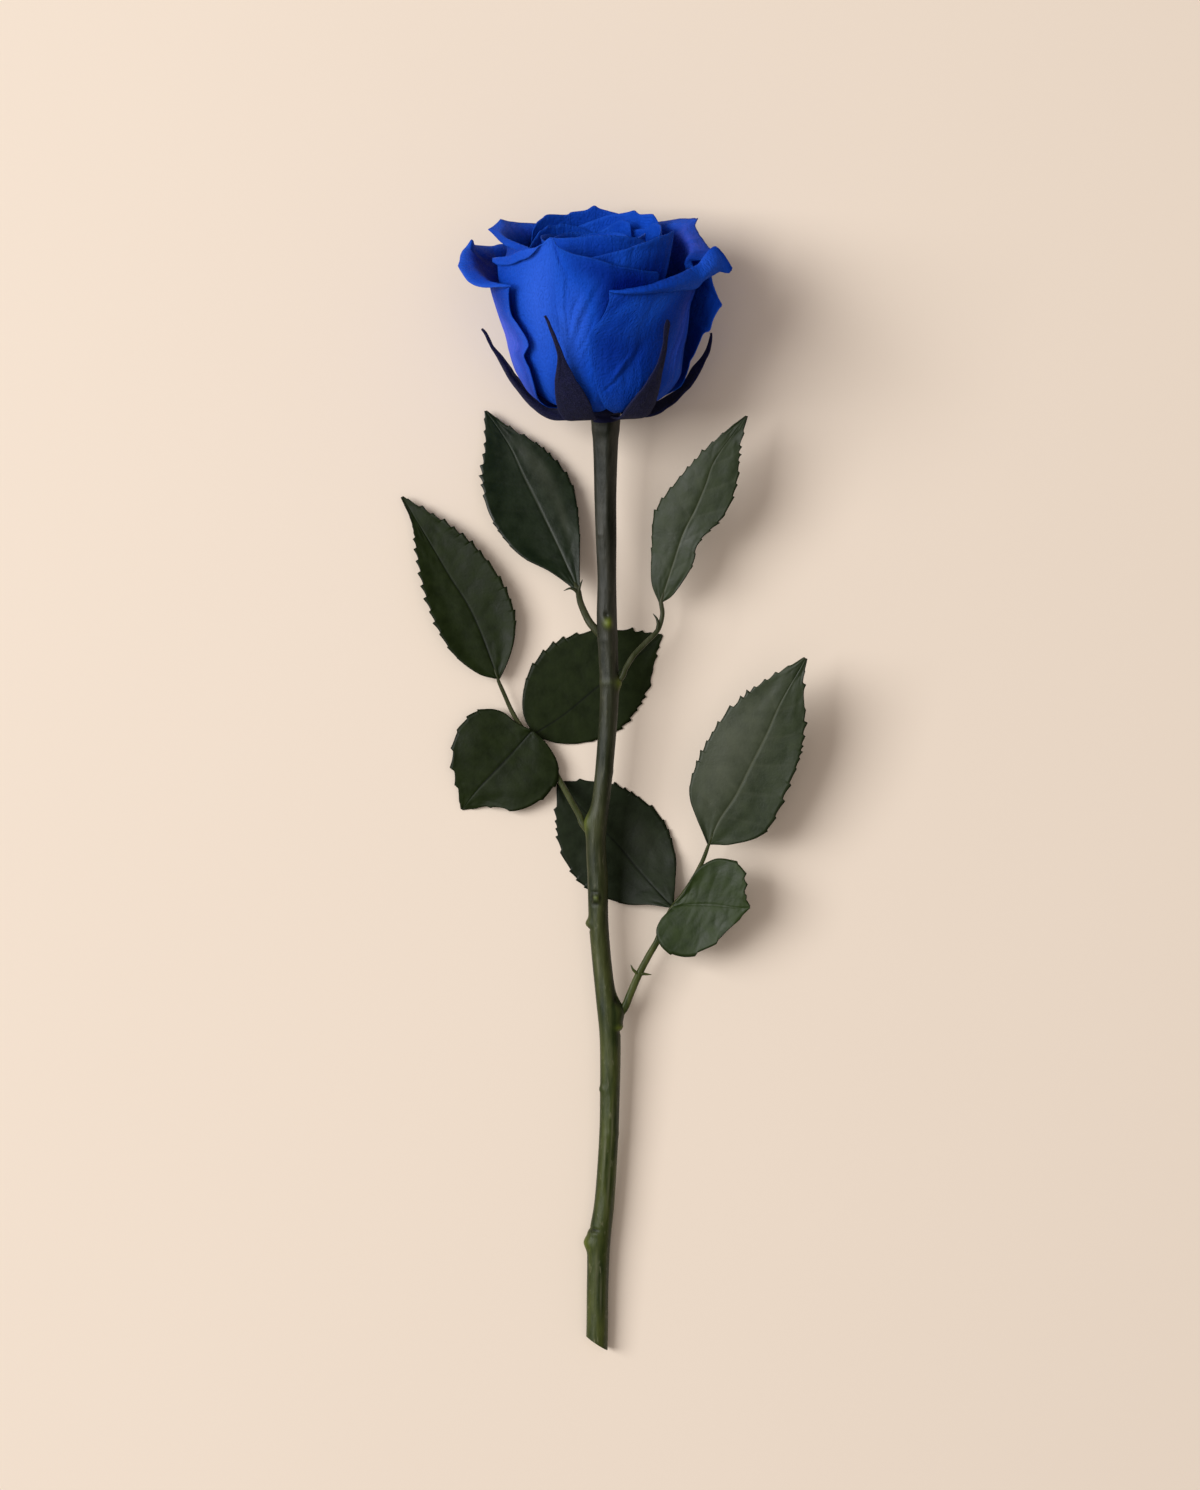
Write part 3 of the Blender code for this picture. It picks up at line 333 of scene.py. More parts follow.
FACET_SHARE = ([-60, 40, 86], [0.12, 0.5, 0.75])  # how strong the edges are, by y
CUT_POINT = (-0.8, -140.6, 2.8)
CUT_NORMAL = (-0.55, -0.83, 0)
CUT_RINGS = (0.94, 0.8, 0.62, 0.4, 0.2, 0.04)  # sizes of the rings of the cut face
# Swellings of the stem: y, direction round it (0 is up, 90 right), length, spread, height and
# how far it turns yellow-green.
STEM_SWELLINGS = [
    (38.6, 8, 1.3, 26, 0.55, 1), (34.5, 20, 0.9, 180, 0.12, 0), (23.6, 72, 1.6, 30, 0.7, 0.7),
    (24, 40, 0.8, 200, 0.2, 0.1), (-11, -80, 2.8, 42, 1.1, 0.6), (-29.3, -12, 1.4, 34, 0.5, 0),
    (-29.3, -12, 0.5, 12, -0.2, 0.7), (-35.6, -85, 1.1, 30, 0.9, 0.2), (-58, 85, 3.4, 42, 1.7, 0),
    (-61.8, 70, 0.7, 34, 0.5, 0.9), (-115.5, -85, 1.8, 45, 1.1, 0.55), (-113, -60, 0.6, 90, 0.25, 0),
    (86, 0, 1.2, 200, 0.15, 0), (60.5, -40, 0.5, 25, 0.2, 0), (2, 60, 0.8, 40, 0.2, 0),
    (-88, 40, 0.9, 60, 0.2, 0), (-77, -70, 0.7, 30, 0.3, 0),
]
# Small dark pits and pale streaks of the bark: y, direction, length, spread.
PIT_DEPTH = 0.55
STEM_PITS = [
    (40.6, 2, 0.6, 13), (-30.7, -12, 0.35, 26), (-27.9, -12, 0.35, 26), (-29.3, -38, 1.1, 9),
    (-29.3, 14, 1.1, 9), (-112.2, -45, 0.35, 40), (-37, -80, 0.3, 24), (-55, 60, 1.2, 12),
    (-63, 80, 0.3, 30),
]
STEM_STREAKS = [
    (-86, 20, 6, 5), (-92, -20, 4, 4), (-101, 15, 7, 5), (-122, -5, 5, 5), (-128, 20, 5, 4), (-70, 5, 4, 4),
    (-46, -25, 3, 4), (-20, 15, 3, 4),
]

# ---- Leaf stalks, from the blade to the stem, with the radius at both ends ----
STALKS = {
    "leaf_stalk_upper_left": dict(
        blade="leaf_upper_left",
        path=[(-5.3, 46.2, 8.6), (-4.9, 44, 9.6), (-3.8, 41.2, 10.9), (-2.4, 38.6, 11.9)],
        radii=(0.7, 1.05),
    ),
    "leaf_stalk_upper_right": dict(
        blade="leaf_upper_right",
        path=[(15.2, 43, 11), (15.4, 40.5, 10.8), (14.2, 36.8, 10.8), (11, 33.5, 11), (8.3, 30.6, 11.3),
              (6.3, 27.4, 11.6), (5.6, 25.6, 11.7)],
        radii=(0.55, 0.75),
    ),
    "leaf_stalk_lower_left": dict(
        blade="leaf_lower_left",
        path=[(-25.2, 24.2, 4.2), (-24, 21.5, 3.9), (-22, 17, 3.3), (-19.5, 12.9, 2.6), (-16.8, 10.6, 2.25),
              (-13.5, 6, 2.2), (-10.5, 0.5, 2.5), (-7.6, -4.6, 5.6), (-5.1, -9, 8.6), (-4.4, -10.9, 9.3)],
        radii=(0.5, 0.85),
    ),
    "leaf_stalk_lower_right": dict(
        blade="leaf_lower_right",
        path=[(26.8, -16.4, 10.8), (25.5, -20, 9.9), (23.5, -24, 9), (20.8, -28.4, 8.1), (18, -32, 7.3),
              (15.6, -36.5, 7), (14.2, -40.2, 6.9), (12, -44, 6.8), (9.4, -49, 6.8), (7.4, -53.6, 6.8),
              (6, -56.9, 6.8)],
        radii=(0.5, 1.05),
    ),
}
# Stipules, the small pointed pairs on the stalks: points from the stalk to the tip.
STIPULES = {
    "stipule_upper_left_a": [(-5.1, 45.4, 9.1), (-6, 46.7, 9.5), (-7.4, 47.3, 9.7), (-9, 46.7, 9.5)],
    "stipule_upper_left_b": [(-5.1, 45.4, 9.1), (-5.2, 46.9, 9.8), (-4.8, 48.3, 10.2), (-4.3, 49.5, 10.3)],
    "stipule_upper_right": [(14.3, 37.2, 10.9), (14.4, 38.4, 11.2), (14, 39.8, 11.3), (13.1, 41, 11.3)],
    "stipule_lower_right_a": [(9.6, -48.6, 6.9), (8.9, -47.9, 7.3), (8.2, -47.2, 7.5), (7.6, -46, 7.6)],
    "stipule_lower_right_b": [(9.6, -48.6, 6.9), (10.6, -48.3, 7.2), (11.5, -48.4, 7.3), (12.8, -48.5, 7.2)],
}

# ---- Leaf blades ----
TOOTH_PITCH = 2.9
TOOTH_REACH = 0.85
TOOTH_NOTCH = 0.22  # how far the notches between the teeth cut in
VEIN_PAIRS = 7
RIB_WIDTH = 0.19
# left, right and rib: the margins and the midrib, (x, y) from base to tip.  height: the midrib's.
# left_rise, right_rise: how far the margins stand above it.  relief: share of the usual waves.
# satin: painted highlights on the blade (u, v, width, height, strength), with u from -1 at
# the left margin to 1 at the right one.  looks: the material.
BLADES = {
    "leaf_upper_left": dict(
        left=[(-6, 46.8), (-12.5, 51.5), (-20.5, 56), (-27, 64.5), (-29.5, 74.5), (-28.8, 83),
              (-28.8, 91.8)],
        right=[(-5, 46.8), (-4.9, 54.5), (-5, 62), (-6, 70.5), (-8.5, 76.5), (-14.5, 83), (-21.5, 87.2),
               (-28.3, 91.8)],
        rib=[(-5.5, 46.8), (-10, 57), (-15, 67.5), (-19, 75.5), (-22.5, 83), (-28.5, 91.8)],
        height=[8.8, 6.2, 4.4, 3.2, 2.4], left_rise=[0, 1.2, 1.8, 1, 0], right_rise=[0, 0, -0.6, -0.4, 0],
        satin=[(0.45, 0.62, 0.22, 0.18, 0.28), (0.5, 0.35, 0.12, 0.12, 0.22)],
        looks="leaf_dark",
    ),
    "leaf_upper_right": dict(
        left=[(14.6, 44), (12.6, 49), (12.7, 57), (13.5, 66), (19, 74), (25.5, 81), (31.5, 86.3),
              (35.8, 89.3)],
        right=[(15.6, 44), (18.5, 46), (22.8, 52.5), (24.5, 58.5), (31, 65.5), (34, 74), (34.6, 82),
               (36.2, 89.3)],
        rib=[(15.1, 44), (18, 53), (20.5, 60.5), (23.5, 66.5), (26, 72.5), (28.5, 79), (36, 89.3)],
        height=[11.2, 13.2, 15, 16.6, 18], left_rise=[0, -1.2, -1.8, -0.6, 0], right_rise=[0, 1.6, 1, 1, 0],
        satin=[(-0.4, 0.45, 0.4, 0.25, 0.12)], looks="leaf_grey",
    ),
    "leaf_lower_left": dict(
        left=[(-26, 25.2), (-30.5, 26.3), (-36.5, 31), (-41, 38.5), (-43.8, 46.5), (-45.6, 55), (-47, 64),
              (-49.6, 70.3)],
        right=[(-25, 25.2), (-23, 29), (-21.2, 35), (-21.3, 42), (-24.8, 50), (-30.5, 57.5), (-38, 63.8),
               (-49.2, 70.5)],
        rib=[(-25.5, 25.2), (-29.5, 36), (-33, 43.5), (-37.5, 50.5), (-42.5, 59), (-49.4, 70.4)],
        height=[4.4, 3.8, 3.4, 3.2, 2.4], left_rise=[0, 1, 1.4, 1, 0], right_rise=[0, 1.2, 1.6, 1, 0],
        looks="leaf_olive",
    ),
    "leaf_lower_left_side": dict(
        left=[(-16.6, 11.7), (-13.5, 9), (-10.5, 3.8), (-10.9, -1), (-15, -5.6), (-21, -8), (-27, -7),
              (-34.3, -7.7)],
        right=[(-17.4, 12.3), (-21, 14), (-24.5, 16.8), (-28.5, 17.5), (-32.5, 16), (-36.2, 11), (-37, 4.5),
               (-36, -1), (-34.7, -7.5)],
        rib=[(-17, 12), (-23.5, 4.8), (-30, -2), (-34.5, -7.6)], height=[3.7, 3.5, 3.2, 2.2, 0.4],
        left_rise=[0, 0.5, 0.8, 0.2, 0], right_rise=[0, 0.4, 0.8, 0.4, 0], looks="leaf_olive",
    ),
    "leaf_lower_left_under": dict(
        left=[(-16.8, 11.5), (-19.2, 16.5), (-19, 23), (-16.5, 29), (-10.5, 34.6), (0, 37.5), (8, 37.2),
              (15.4, 36.2)],
        right=[(-16.2, 10.9), (-10.5, 8.9), (-4, 9), (4.5, 12), (10.5, 19), (13.5, 27.5), (14.4, 32),
               (15.7, 35.8)],
        rib=[(-16.5, 11.2), (-8.5, 16.5), (0, 23.5), (8.5, 29.8), (15.5, 36)],
        height=[1.1, 0.45, 0.22, 0.22, 0.3], left_rise=[0, 0, 0, 0, 0], right_rise=[0, 0, 0, 0, 0],
        looks="leaf_olive", relief=0.25,
    ),
    "leaf_lower_right": dict(
        left=[(26.6, -15.7), (23.8, -9.5), (22, -3), (23.8, 4), (29, 13.8), (36, 21.2), (43, 26),
              (50.2, 30)],
        right=[(27.4, -15.9), (33, -16), (41, -13), (46, -3), (49.4, 6), (50.6, 16), (50, 24),
               (50.8, 29.7)],
        rib=[(27, -15.8), (29.5, -10), (33.5, -4), (37, 3), (41, 11), (44.5, 19), (50.5, 29.8)],
        height=[11.1, 12.6, 14.4, 16.4, 18.6], left_rise=[0, -0.8, -1.4, -0.8, 0],
        right_rise=[0, 0.6, 0.8, 0.6, 0], satin=[(-0.5, 0.45, 0.6, 0.35, 0.5)], looks="leaf_grey",
    ),
    "leaf_lower_right_under": dict(
        left=[(17.6, -31.9), (12, -31.3), (5, -31), (-4.5, -26.5), (-9.5, -19), (-11.2, -11),
              (-10.8, -1.3)],
        right=[(18.2, -31.2), (18.8, -25), (18.8, -18.5), (16, -10.5), (10, -4.5), (2.5, -0.8), (-5, -0.2),
               (-10.3, -0.7)],
        rib=[(17.9, -31.6), (13.5, -27), (9, -22), (4, -16), (-3, -9), (-10.5, -1)],
        height=[5.9, 1.8, 0.3, 0.22, 0.3], left_rise=[0, 0, 0, 0, 0], right_rise=[0, 0, 0, 0, 0],
        looks="leaf_deep", satin=[(0.5, 0.35, 0.3, 0.2, 0.12)],
    ),
    "leaf_lower_right_side": dict(
        left=[(18.2, -31.2), (21, -28), (24, -22.5), (29, -19.4), (34.5, -20.8), (36, -25), (35.8, -28.5),
              (37, -31.3)],
        right=[(17.9, -32), (15, -35), (14, -38.5), (16, -42.3), (21, -44), (27.5, -41.4), (32, -37),
               (37, -31.7)],
        rib=[(18.1, -31.6), (22.5, -31), (27.5, -31), (33, -31.6), (37, -31.5)],
        height=[8.5, 9.6, 10.8, 12, 13], left_rise=[0, 0.6, 1, 1.4, 0], right_rise=[0, -0.2, -0.4, 0.6, 0],
        looks="leaf_mid",
    ),
}
# The colours of the face, its darker mottles and its veins, the roughness and the gloss.
LEAF_LOOKS = {
    "leaf_dark": ((0.01, 0.019, 0.006), (0.006, 0.012, 0.004), (0.031, 0.038, 0.022), 0.42, 0.3),
    "leaf_grey": ((0.027, 0.04, 0.014), (0.016, 0.026, 0.008), (0.085, 0.095, 0.06), 0.46, 0.26),
    "leaf_olive": ((0.013, 0.022, 0.003), (0.008, 0.014, 0.002), (0.003, 0.005, 0.002), 0.48, 0.18),
    "leaf_deep": ((0.013, 0.021, 0.007), (0.008, 0.013, 0.004), (0.003, 0.005, 0.002), 0.48, 0.18),
    "leaf_mid": ((0.027, 0.046, 0.009), (0.016, 0.03, 0.005), (0.03, 0.045, 0.015), 0.45, 0.26),
}


# ---- Curves and noise ----
def catmull_rom(a, b, c, d, f):
    """The smooth curve from b to c, read at f from 0 to 1; a and d are the points beside them."""
    square = 2 * a - 5 * b + 4 * c - d
    cubic = 3 * b - a - 3 * c + d
    return b + 0.5 * ((c - a) * f + square * f**2 + cubic * f**3)


def smooth_line(points, count):
    """Points spaced evenly along a smooth curve through the given ones."""
    given = np.array(points, float)
    padded = np.vstack([2 * given[0] - given[1], given, 2 * given[-1] - given[-2]])
    step = np.linspace(0, 1, 12, endpoint=False)[:, None]
    stretches = zip(padded, padded[1:], padded[2:], padded[3:])
    line = np.vstack([catmull_rom(*stretch, step) for stretch in stretches] + [given[-1:]])
    gone = np.concatenate([[0], np.cumsum(np.linalg.norm(np.diff(line, axis=0), axis=1))])
    stations = np.linspace(0, gone[-1], count)
    return np.column_stack([np.interp(stations, gone, line[:, k]) for k in range(line.shape[1])])


def glide(values, t):
    """A smooth curve through values spaced evenly from t = 0 to t = 1, read at t."""
    values = np.array(values, float)
    padded = np.concatenate([[2 * values[0] - values[1]], values, [2 * values[-1] - values[-2]]])
    place = np.clip(t, 0, 1) * (len(values) - 1)
    i = np.minimum(place.astype(int), len(values) - 2)
    f = place - i
    if values.ndim > 1:
        f = f[..., None]
    return catmull_rom(padded[i], padded[i + 1], padded[i + 2], padded[i + 3], f)


def waves(seed, u, v, across, along):
    """Smooth noise from -1 to 1 over u, v in 0..1, with so many cells across and along."""
    table = np.random.RandomState(seed).uniform(-1, 1, (across + 2, along + 2))
    x = np.clip(u, 0, 1) * across
    y = np.clip(v, 0, 1) * along
    i = np.minimum(x.astype(int), across - 1)
    j = np.minimum(y.astype(int), along - 1)
    s = x - i
    t = y - j
    s = s * s * (3 - 2 * s)
    t = t * t * (3 - 2 * t)
    low = table[i, j] * (1 - s) + table[i + 1, j] * s
    high = table[i, j + 1] * (1 - s) + table[i + 1, j + 1] * s
    return low * (1 - t) + high * t


def bump_at(x, centre, width):
    """1 at the centre, fading to 0 on both sides."""
    return np.exp(-(((x - centre) / width) ** 2))


def unit(vectors):
    """The vectors, along the last axis, brought to length 1."""
    return vectors / np.linalg.norm(vectors, axis=-1, keepdims=True)


def places(rows, columns):
    """u across the columns and v along the rows of a grid, both from 0 to 1."""
    v, u = np.meshgrid(np.linspace(0, 1, rows), np.linspace(0, 1, columns), indexing="ij")
    return u, v


def patches(spots, u, v):
    """Soft spots (u, v, width, height, strength), added up between -1 and 1."""
    total = np.zeros_like(u)
    for at_u, at_v, width, height, strength in spots:
        total = total + strength * bump_at(u, at_u, width) * bump_at(v, at_v, height)
    return np.clip(total, -1, 1)


def seed_of(name):
    return sum((i + 1) * ord(letter) for i, letter in enumerate(name)) % 9973


# ---- The bloom's cups ----
BODY_LINE = smooth_line(BODY_PROFILE, 400)
POSE = np.array(Euler((math.radians(BLOOM_RISE - 90), 0, math.radians(BLOOM_LEAN))).to_matrix())


def to_world(points):
    """Points of the bloom's frame, in the frame of the model."""
    return points @ POSE.T + np.array(BLOOM_BASE)


def away_from_axis(points):
    """Unit vectors from the bloom's axis out to points of the model's frame."""
    axis = POSE[:, 2]
    offset = points - np.array(BLOOM_BASE)
    return unit(offset - (offset @ axis)[..., None] * axis)


def body_radius(height):
    """Radius of the bloom's outside at a height above the calyx."""
    return np.interp(height, BODY_LINE[:, 0], BODY_LINE[:, 1])


def shell_foot(depth):
    """Height and radius where a petal this deep inside the bloom leaves the receptacle."""
    climb = SEAT_CLIMB * depth / BELLY_RADIUS
    radius = DOME_RADIUS * math.sqrt(1 - (climb / DOME_HEIGHT) ** 2) + SEAT_GAP
    return DOME_FOOT + climb + SEAT_GAP * depth / BELLY_RADIUS, radius


def shell_radius(height, depth):
    """Nested cups: the radius of the one that lies this deep inside the bloom's outside."""
    foot_height, foot_radius = shell_foot(depth)
    outside = body_radius(height - foot_height + DOME_FOOT)
    rise = (np.minimum(outside, BELLY_RADIUS) - DOME_RADIUS) / (BELLY_RADIUS - DOME_RADIUS)
    flare = np.maximum(body_radius(height) - BELLY_RADIUS, 0) * max(0.0, 1 - depth / FLARE_DEPTH)
    closing = 1 - CLOSING * depth * np.clip((height - CLOSING_HEIGHT) / CLOSING_SPAN, 0, 1) ** 2
    return (foot_radius + (BELLY_RADIUS - depth - foot_radius) * rise) * closing + flare


def round_axis(azimuth, radius, height):
    """Cylinder coordinates of the bloom's frame, as points of the model's frame."""
    return to_world(np.stack([radius * np.sin(azimuth), -radius * np.cos(azimuth), height], axis=-1))


def edge_azimuth(edge, v, share, foot_height):
    """Azimuth of a petal's side edge where the cup has risen by this share of its height."""
    if not isinstance(edge[0], tuple):
        return glide(edge, v)
    line = smooth_line(edge, 200)
    risen = (line[:, 1] - foot_height) / (line[-1, 1] - foot_height)
    return np.interp(share, np.maximum.accumulate(risen), line[:, 0])


def cup_rows(petal, u):
    """Rows of azimuths, radii and heights from the petal's foot to its crest."""
    depth = petal["depth"]
    foot_height, _ = shell_foot(depth)
    crest = glide(petal["crest"], u)
    spread = (crest[:, 0] - crest[0, 0]) / (crest[-1, 0] - crest[0, 0])
    power = RISE_POWER[0] + (RISE_POWER[1] - RISE_POWER[0]) * depth / BELLY_RADIUS
    rows = []
    for v in np.linspace(0, 1, 30):
        share = v**power
        left = edge_azimuth(petal["left"], v, share, foot_height)
        right = edge_azimuth(petal["right"], v, share, foot_height)
        azimuth = np.radians(left + (right - left) * ((1 - v) * u + v * spread))
        height = foot_height + (crest[:, 1] - foot_height) * share
        lift = glide(petal.get("lift_right", [0, 0]), v) * np.clip(2.5 * u - 1.5, 0, 1) ** 2
        radius = shell_radius(height, depth) + lift - petal.get("tuck", 0) * (u - 0.5)
        rows.append((azimuth, radius, height))
    return rows


def lip_rows(petal, crest, u):
    """Rows of a lip that turns outwards from the crest."""
    azimuth, start, level = crest
    bend = glide(petal["bend"], u)
    rows = []
    for curl in (0.2, 0.4, 0.6, 0.8, 1.0):
        along = glide(petal["lip"], u) * curl
        angle = np.minimum(along / bend, np.radians(glide(petal["turn"], u)))
        straight = along - bend * angle
        radius = start + bend * (1 - np.cos(angle)) + straight * np.sin(angle)
        height = level + bend * np.sin(angle) + straight * np.cos(angle)
        rows.append(round_axis(azimuth, radius, height))
    return rows


def through_rows(rows, count):
    """Rows spaced evenly along smooth curves that pass through each column of the given rows."""
    rows = np.array(rows)
    chord = np.linalg.norm(np.diff(rows, axis=0), axis=2)
    knots = np.vstack([np.zeros(rows.shape[1]), np.cumsum(np.maximum(chord, 1e-4), axis=0)])
    span = np.diff(knots, axis=0)[..., None]
    slope = np.diff(rows, axis=0) / span
    middle = (slope[1:] * span[:-1] + slope[:-1] * span[1:]) / (span[1:] + span[:-1])
    tangent = np.concatenate([slope[:1], middle, slope[-1:]])
    out = np.empty((count, rows.shape[1], 3))
    for column in range(rows.shape[1]):
        knot = knots[:, column]
        place = np.linspace(0, knot[-1], count)
        i = np.clip(np.searchsorted(knot, place, side="right") - 1, 0, len(knot) - 2)
        width = (knot[i + 1] - knot[i])[:, None]
        s = (place - knot[i])[:, None] / width
        start = rows[i, column]
        end = rows[i + 1, column]
        leave = tangent[i, column] * width
        arrive = tangent[i + 1, column] * width
        out[:, column] = (
            (2 * s**3 - 3 * s**2 + 1) * start + (s**3 - 2 * s**2 + s) * leave
            + (3 * s**2 - 2 * s**3) * end + (s**3 - s**2) * arrive
        )
    return out


def petal_grid(petal):
    """The petal's middle surface as rows of points from its foot to its rim."""
    columns, count = petal["grid"]
    u = np.linspace(0, 1, columns)
    cup = cup_rows(petal, u)
    rows = [round_axis(*row) for row in cup]
    if "fold" in petal:
        fold = glide(petal["fold"], u)
        rim = glide(petal["rim"], u)
        middle = (fold + rim) / 2
        bulge = glide(petal.get("bulge", [0, 0]), u)[:, None]
        rows += [fold, middle + away_from_axis(middle) * bulge, rim]
    elif "lip" in petal:
        rows += lip_rows(petal, cup[-1], u)
    grid = through_rows(rows, count)
    if "free_left" in petal:
        edge = smooth_line(petal["free_left"], count)
        grid = grid + ((1 - u) ** 3)[None, :, None] * (edge - grid[:, 0])[:, None, :]
    near_rim = np.linspace(0, 1, count)[:, None, None] ** 24
    for at, width, *pull in petal.get("tips", []):
        drawn = np.clip(1 - np.abs(u - at) / width, 0, 1) ** 1.5
        grid = grid + near_rim * drawn[:, None] * np.array(pull)
    return grid


def petal_size(grid):
    """Width and length of a petal, along the middle of its grid."""
    rows, columns = grid.shape[:2]
    width = np.linalg.norm(np.diff(grid[rows // 2], axis=0), axis=1).sum()
    length = np.linalg.norm(np.diff(grid[:, columns // 2], axis=0), axis=1).sum()
    return width, length


def crease(u, v, size, start, end, width):
    """1 along a line from start to end over a petal of this size, fading to 0 beside it."""
    scale = np.array(size)
    start = np.array(start) * scale
    reach = np.array(end) * scale - start
    offset = np.stack([u, v], axis=-1) * scale - start
    share = np.clip(offset @ reach / (reach @ reach), 0, 1)
    beside = np.linalg.norm(offset - share[..., None] * reach, axis=-1)
    return bump_at(beside, 0, width) * np.sin(np.pi * np.clip(share, 0.04, 0.96)) ** 0.6


def normals_of(grid):
    """Unit normals of a grid of points, which face outwards on a cup."""
    down, across = np.gradient(grid, axis=(0, 1))
    normal = np.cross(across, down)
    return normal / np.maximum(np.linalg.norm(normal, axis=2, keepdims=True), 1e-9)


def wrinkled(name, petal, grid):
    """The grid with the petal's soft waves, the wrinkles that run along it and its own creases."""
    u, v = places(*grid.shape[:2])
    seed = seed_of(name)
    lift = 0.5 * waves(seed, u, v, 3, 3) + 0.5 * waves(seed + 1, u, v, 9, 3)
    lift = lift + 0.28 * waves(seed + 2, u, v, 26, 4) + 0.12 * waves(seed + 3, u, v, 55, 7)
    lift = petal["wrinkle"] * lift * np.clip(v * 5, 0, 1)
    size = petal_size(grid)
    for start, end, width, depth in petal.get("creases", []):
        lift = lift - depth * crease(u, v, size, start, end, width)
    return grid + normals_of(grid) * lift[..., None]


# ---- Meshes ----
def new_mesh(name, points, faces, values):
    """A smooth mesh over points in mm, with named values at its points for its material."""
    mesh = bpy.data.meshes.new(name + "_look")
    mesh.from_pydata((points.reshape(-1, 3) * MM).tolist(), [], faces)
    for key, value in values.items():
        layer = mesh.attributes.new(key, "FLOAT", "POINT")
        layer.data.foreach_set("value", np.ascontiguousarray(value, dtype=np.float32).ravel())
    mesh.shade_smooth()
    return mesh


def grid_mesh(name, grid, uv_size, values):
    """A mesh over a grid of points, with a UV map in cm."""
    rows, columns = grid.shape[:2]
    index = np.arange(rows * columns).reshape(rows, columns)
    faces = np.stack([index[:-1, :-1], index[:-1, 1:], index[1:, 1:], index[1:, :-1]], axis=-1)
    faces = faces.reshape(-1, 4)
    mesh = new_mesh(name, grid, faces.tolist(), values)
    u, v = places(rows, columns)
    uv = np.stack([u * uv_size[0], v * uv_size[1]], axis=-1).reshape(-1, 2)
    layer = mesh.uv_layers.new(name="grain")
    layer.data.foreach_set("uv", uv[faces.ravel()].ravel())
    return mesh


def tube_mesh(name, rings, values):
    """A mesh over closed rings of points, with both ends filled."""
    rows, sides = rings.shape[:2]
    index = np.arange(rows * sides).reshape(rows, sides)
    turned = np.roll(index, -1, axis=1)
    faces = np.stack([index[:-1], turned[:-1], turned[1:], index[1:]], axis=-1).reshape(-1, 4).tolist()
    faces.append(index[0][::-1].tolist())
    faces.append(index[-1].tolist())
    mesh = new_mesh(name, rings, faces, values)
    shape = bmesh.new()
    shape.from_mesh(mesh)
    bmesh.ops.recalc_face_normals(shape, faces=shape.faces)
    shape.to_mesh(mesh)
    shape.free()
    return mesh


def add_piece(name, mesh, material, thickness=0.0, in_cad=True):
    """Puts a mesh in the scene as a piece of the root body, where the node of its name stands."""
    mesh.materials.append(material)
    piece = bpy.data.objects.new(name + "_look", mesh)
    bpy.context.scene.collection.objects.link(piece)
    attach(piece, "root")
    if in_cad:
        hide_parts(name)
    if thickness:
        sheet = piece.modifiers.new("thickness", "SOLIDIFY")
        sheet.thickness = thickness * MM
        sheet.offset = 0


# ---- Petals and sepals ----
def build_petal(name, petal, material):
    grid = wrinkled(name, petal, petal_grid(petal))
    u, v = places(*grid.shape[:2])
    width, length = petal_size(grid)
    side = np.minimum(u, 1 - u) * width
    rim = (1 - v) * length
    # painted light (+) and painted shade (-) over the petal, read by its material
    painted_shading = patches(petal.get("painted_shading", []), u, v)
    values = {
        # violet painted sheen where the velvet catches the lamp at a glancing angle
        "painted_sheen": patches(petal.get("painted_sheen", []), u, v),
        "edge": np.maximum(np.exp(-side / 0.35), np.exp(-rim / 0.45)),
        "painted_light": np.maximum(painted_shading, 0),
        "deep": np.maximum(-painted_shading, 0),
    }
    mesh = grid_mesh(name, grid, (width / 10, length / 10), values)
    add_piece(name, mesh, material, PETAL_THICKNESS)


def heart_petal(depth, centre, half, top):
    """A petal of the closed heart, wound a little inwards along its right side."""
    reach = half * np.array([0.45, 0.75, 0.95, 1, 1])
    crest = [(centre + half * s, top - 2.2 * abs(s) ** 3) for s in (-1, -0.75, -0.4, 0, 0.4, 0.75, 1)]
    return dict(
        depth=depth, grid=(70, 44), left=list(centre - reach), right=list(centre + reach), crest=crest,
        lip=[0.8, 1.2, 0.8], turn=[12, 20, 12], bend=[3, 3], tuck=1, wrinkle=0.18,
        # painted shade over the upper part of each petal of the heart, where it lies in the bloom's hollow
        painted_shading=[(0.5, 0.86, 1, 0.1, -0.45)],
    )


def build_sepal(name, sepal, material):
    rows, columns = 100, 21
    left = smooth_line(sepal["left"], rows)
    right = smooth_line(sepal["right"], rows)
    v, u = np.meshgrid(np.linspace(0, 1, rows), np.linspace(-1, 1, columns), indexing="ij")
    half = (right - left) / 2
    seed = seed_of(name)
    jag = 1 + 0.03 * waves(seed, v, 0 * v, 26, 1) * np.abs(u) ** 3
    grid = ((left + right) / 2)[:, None] + half[:, None] * (u * jag)[..., None]
    middle = 1 - u**2
    arch = middle * np.minimum(np.linalg.norm(half, axis=1) * 0.16, 0.6)[:, None]
    ripple = 0.16 * waves(seed + 1, (u + 1) / 2, v, 5, 14)
    grid = grid + away_from_axis(grid) * (arch + ripple)[..., None]
    grid[..., 2] += sepal.get("crown", 0) * middle * np.sin(np.pi * v) ** 0.7
    mesh = grid_mesh(name, grid, (1, 3), {"edge": np.abs(u) ** 6})
    add_piece(name, mesh, material, SEPAL_THICKNESS)


def build_receptacle(material):
    """The swollen base that the petals and sepals grow from."""
    outline = [(3.6, -1.5), (3.9, 0.2), (4.7, 1.1), (5.3, 2), (5.2, 3.5), (4.4, 6.5), (3, 9), (1, 10.4)]
    line = smooth_line(outline, 40)
    turn = turns(48)
    swell = line[:, :1] * (1 + 0.03 * np.sin(5 * turn))
    rings = round_axis(turn, swell, line[:, 1:] + 0 * turn)
    mesh = tube_mesh("receptacle", rings, {"edge": np.zeros(swell.shape)})
    add_piece("receptacle", mesh, material)


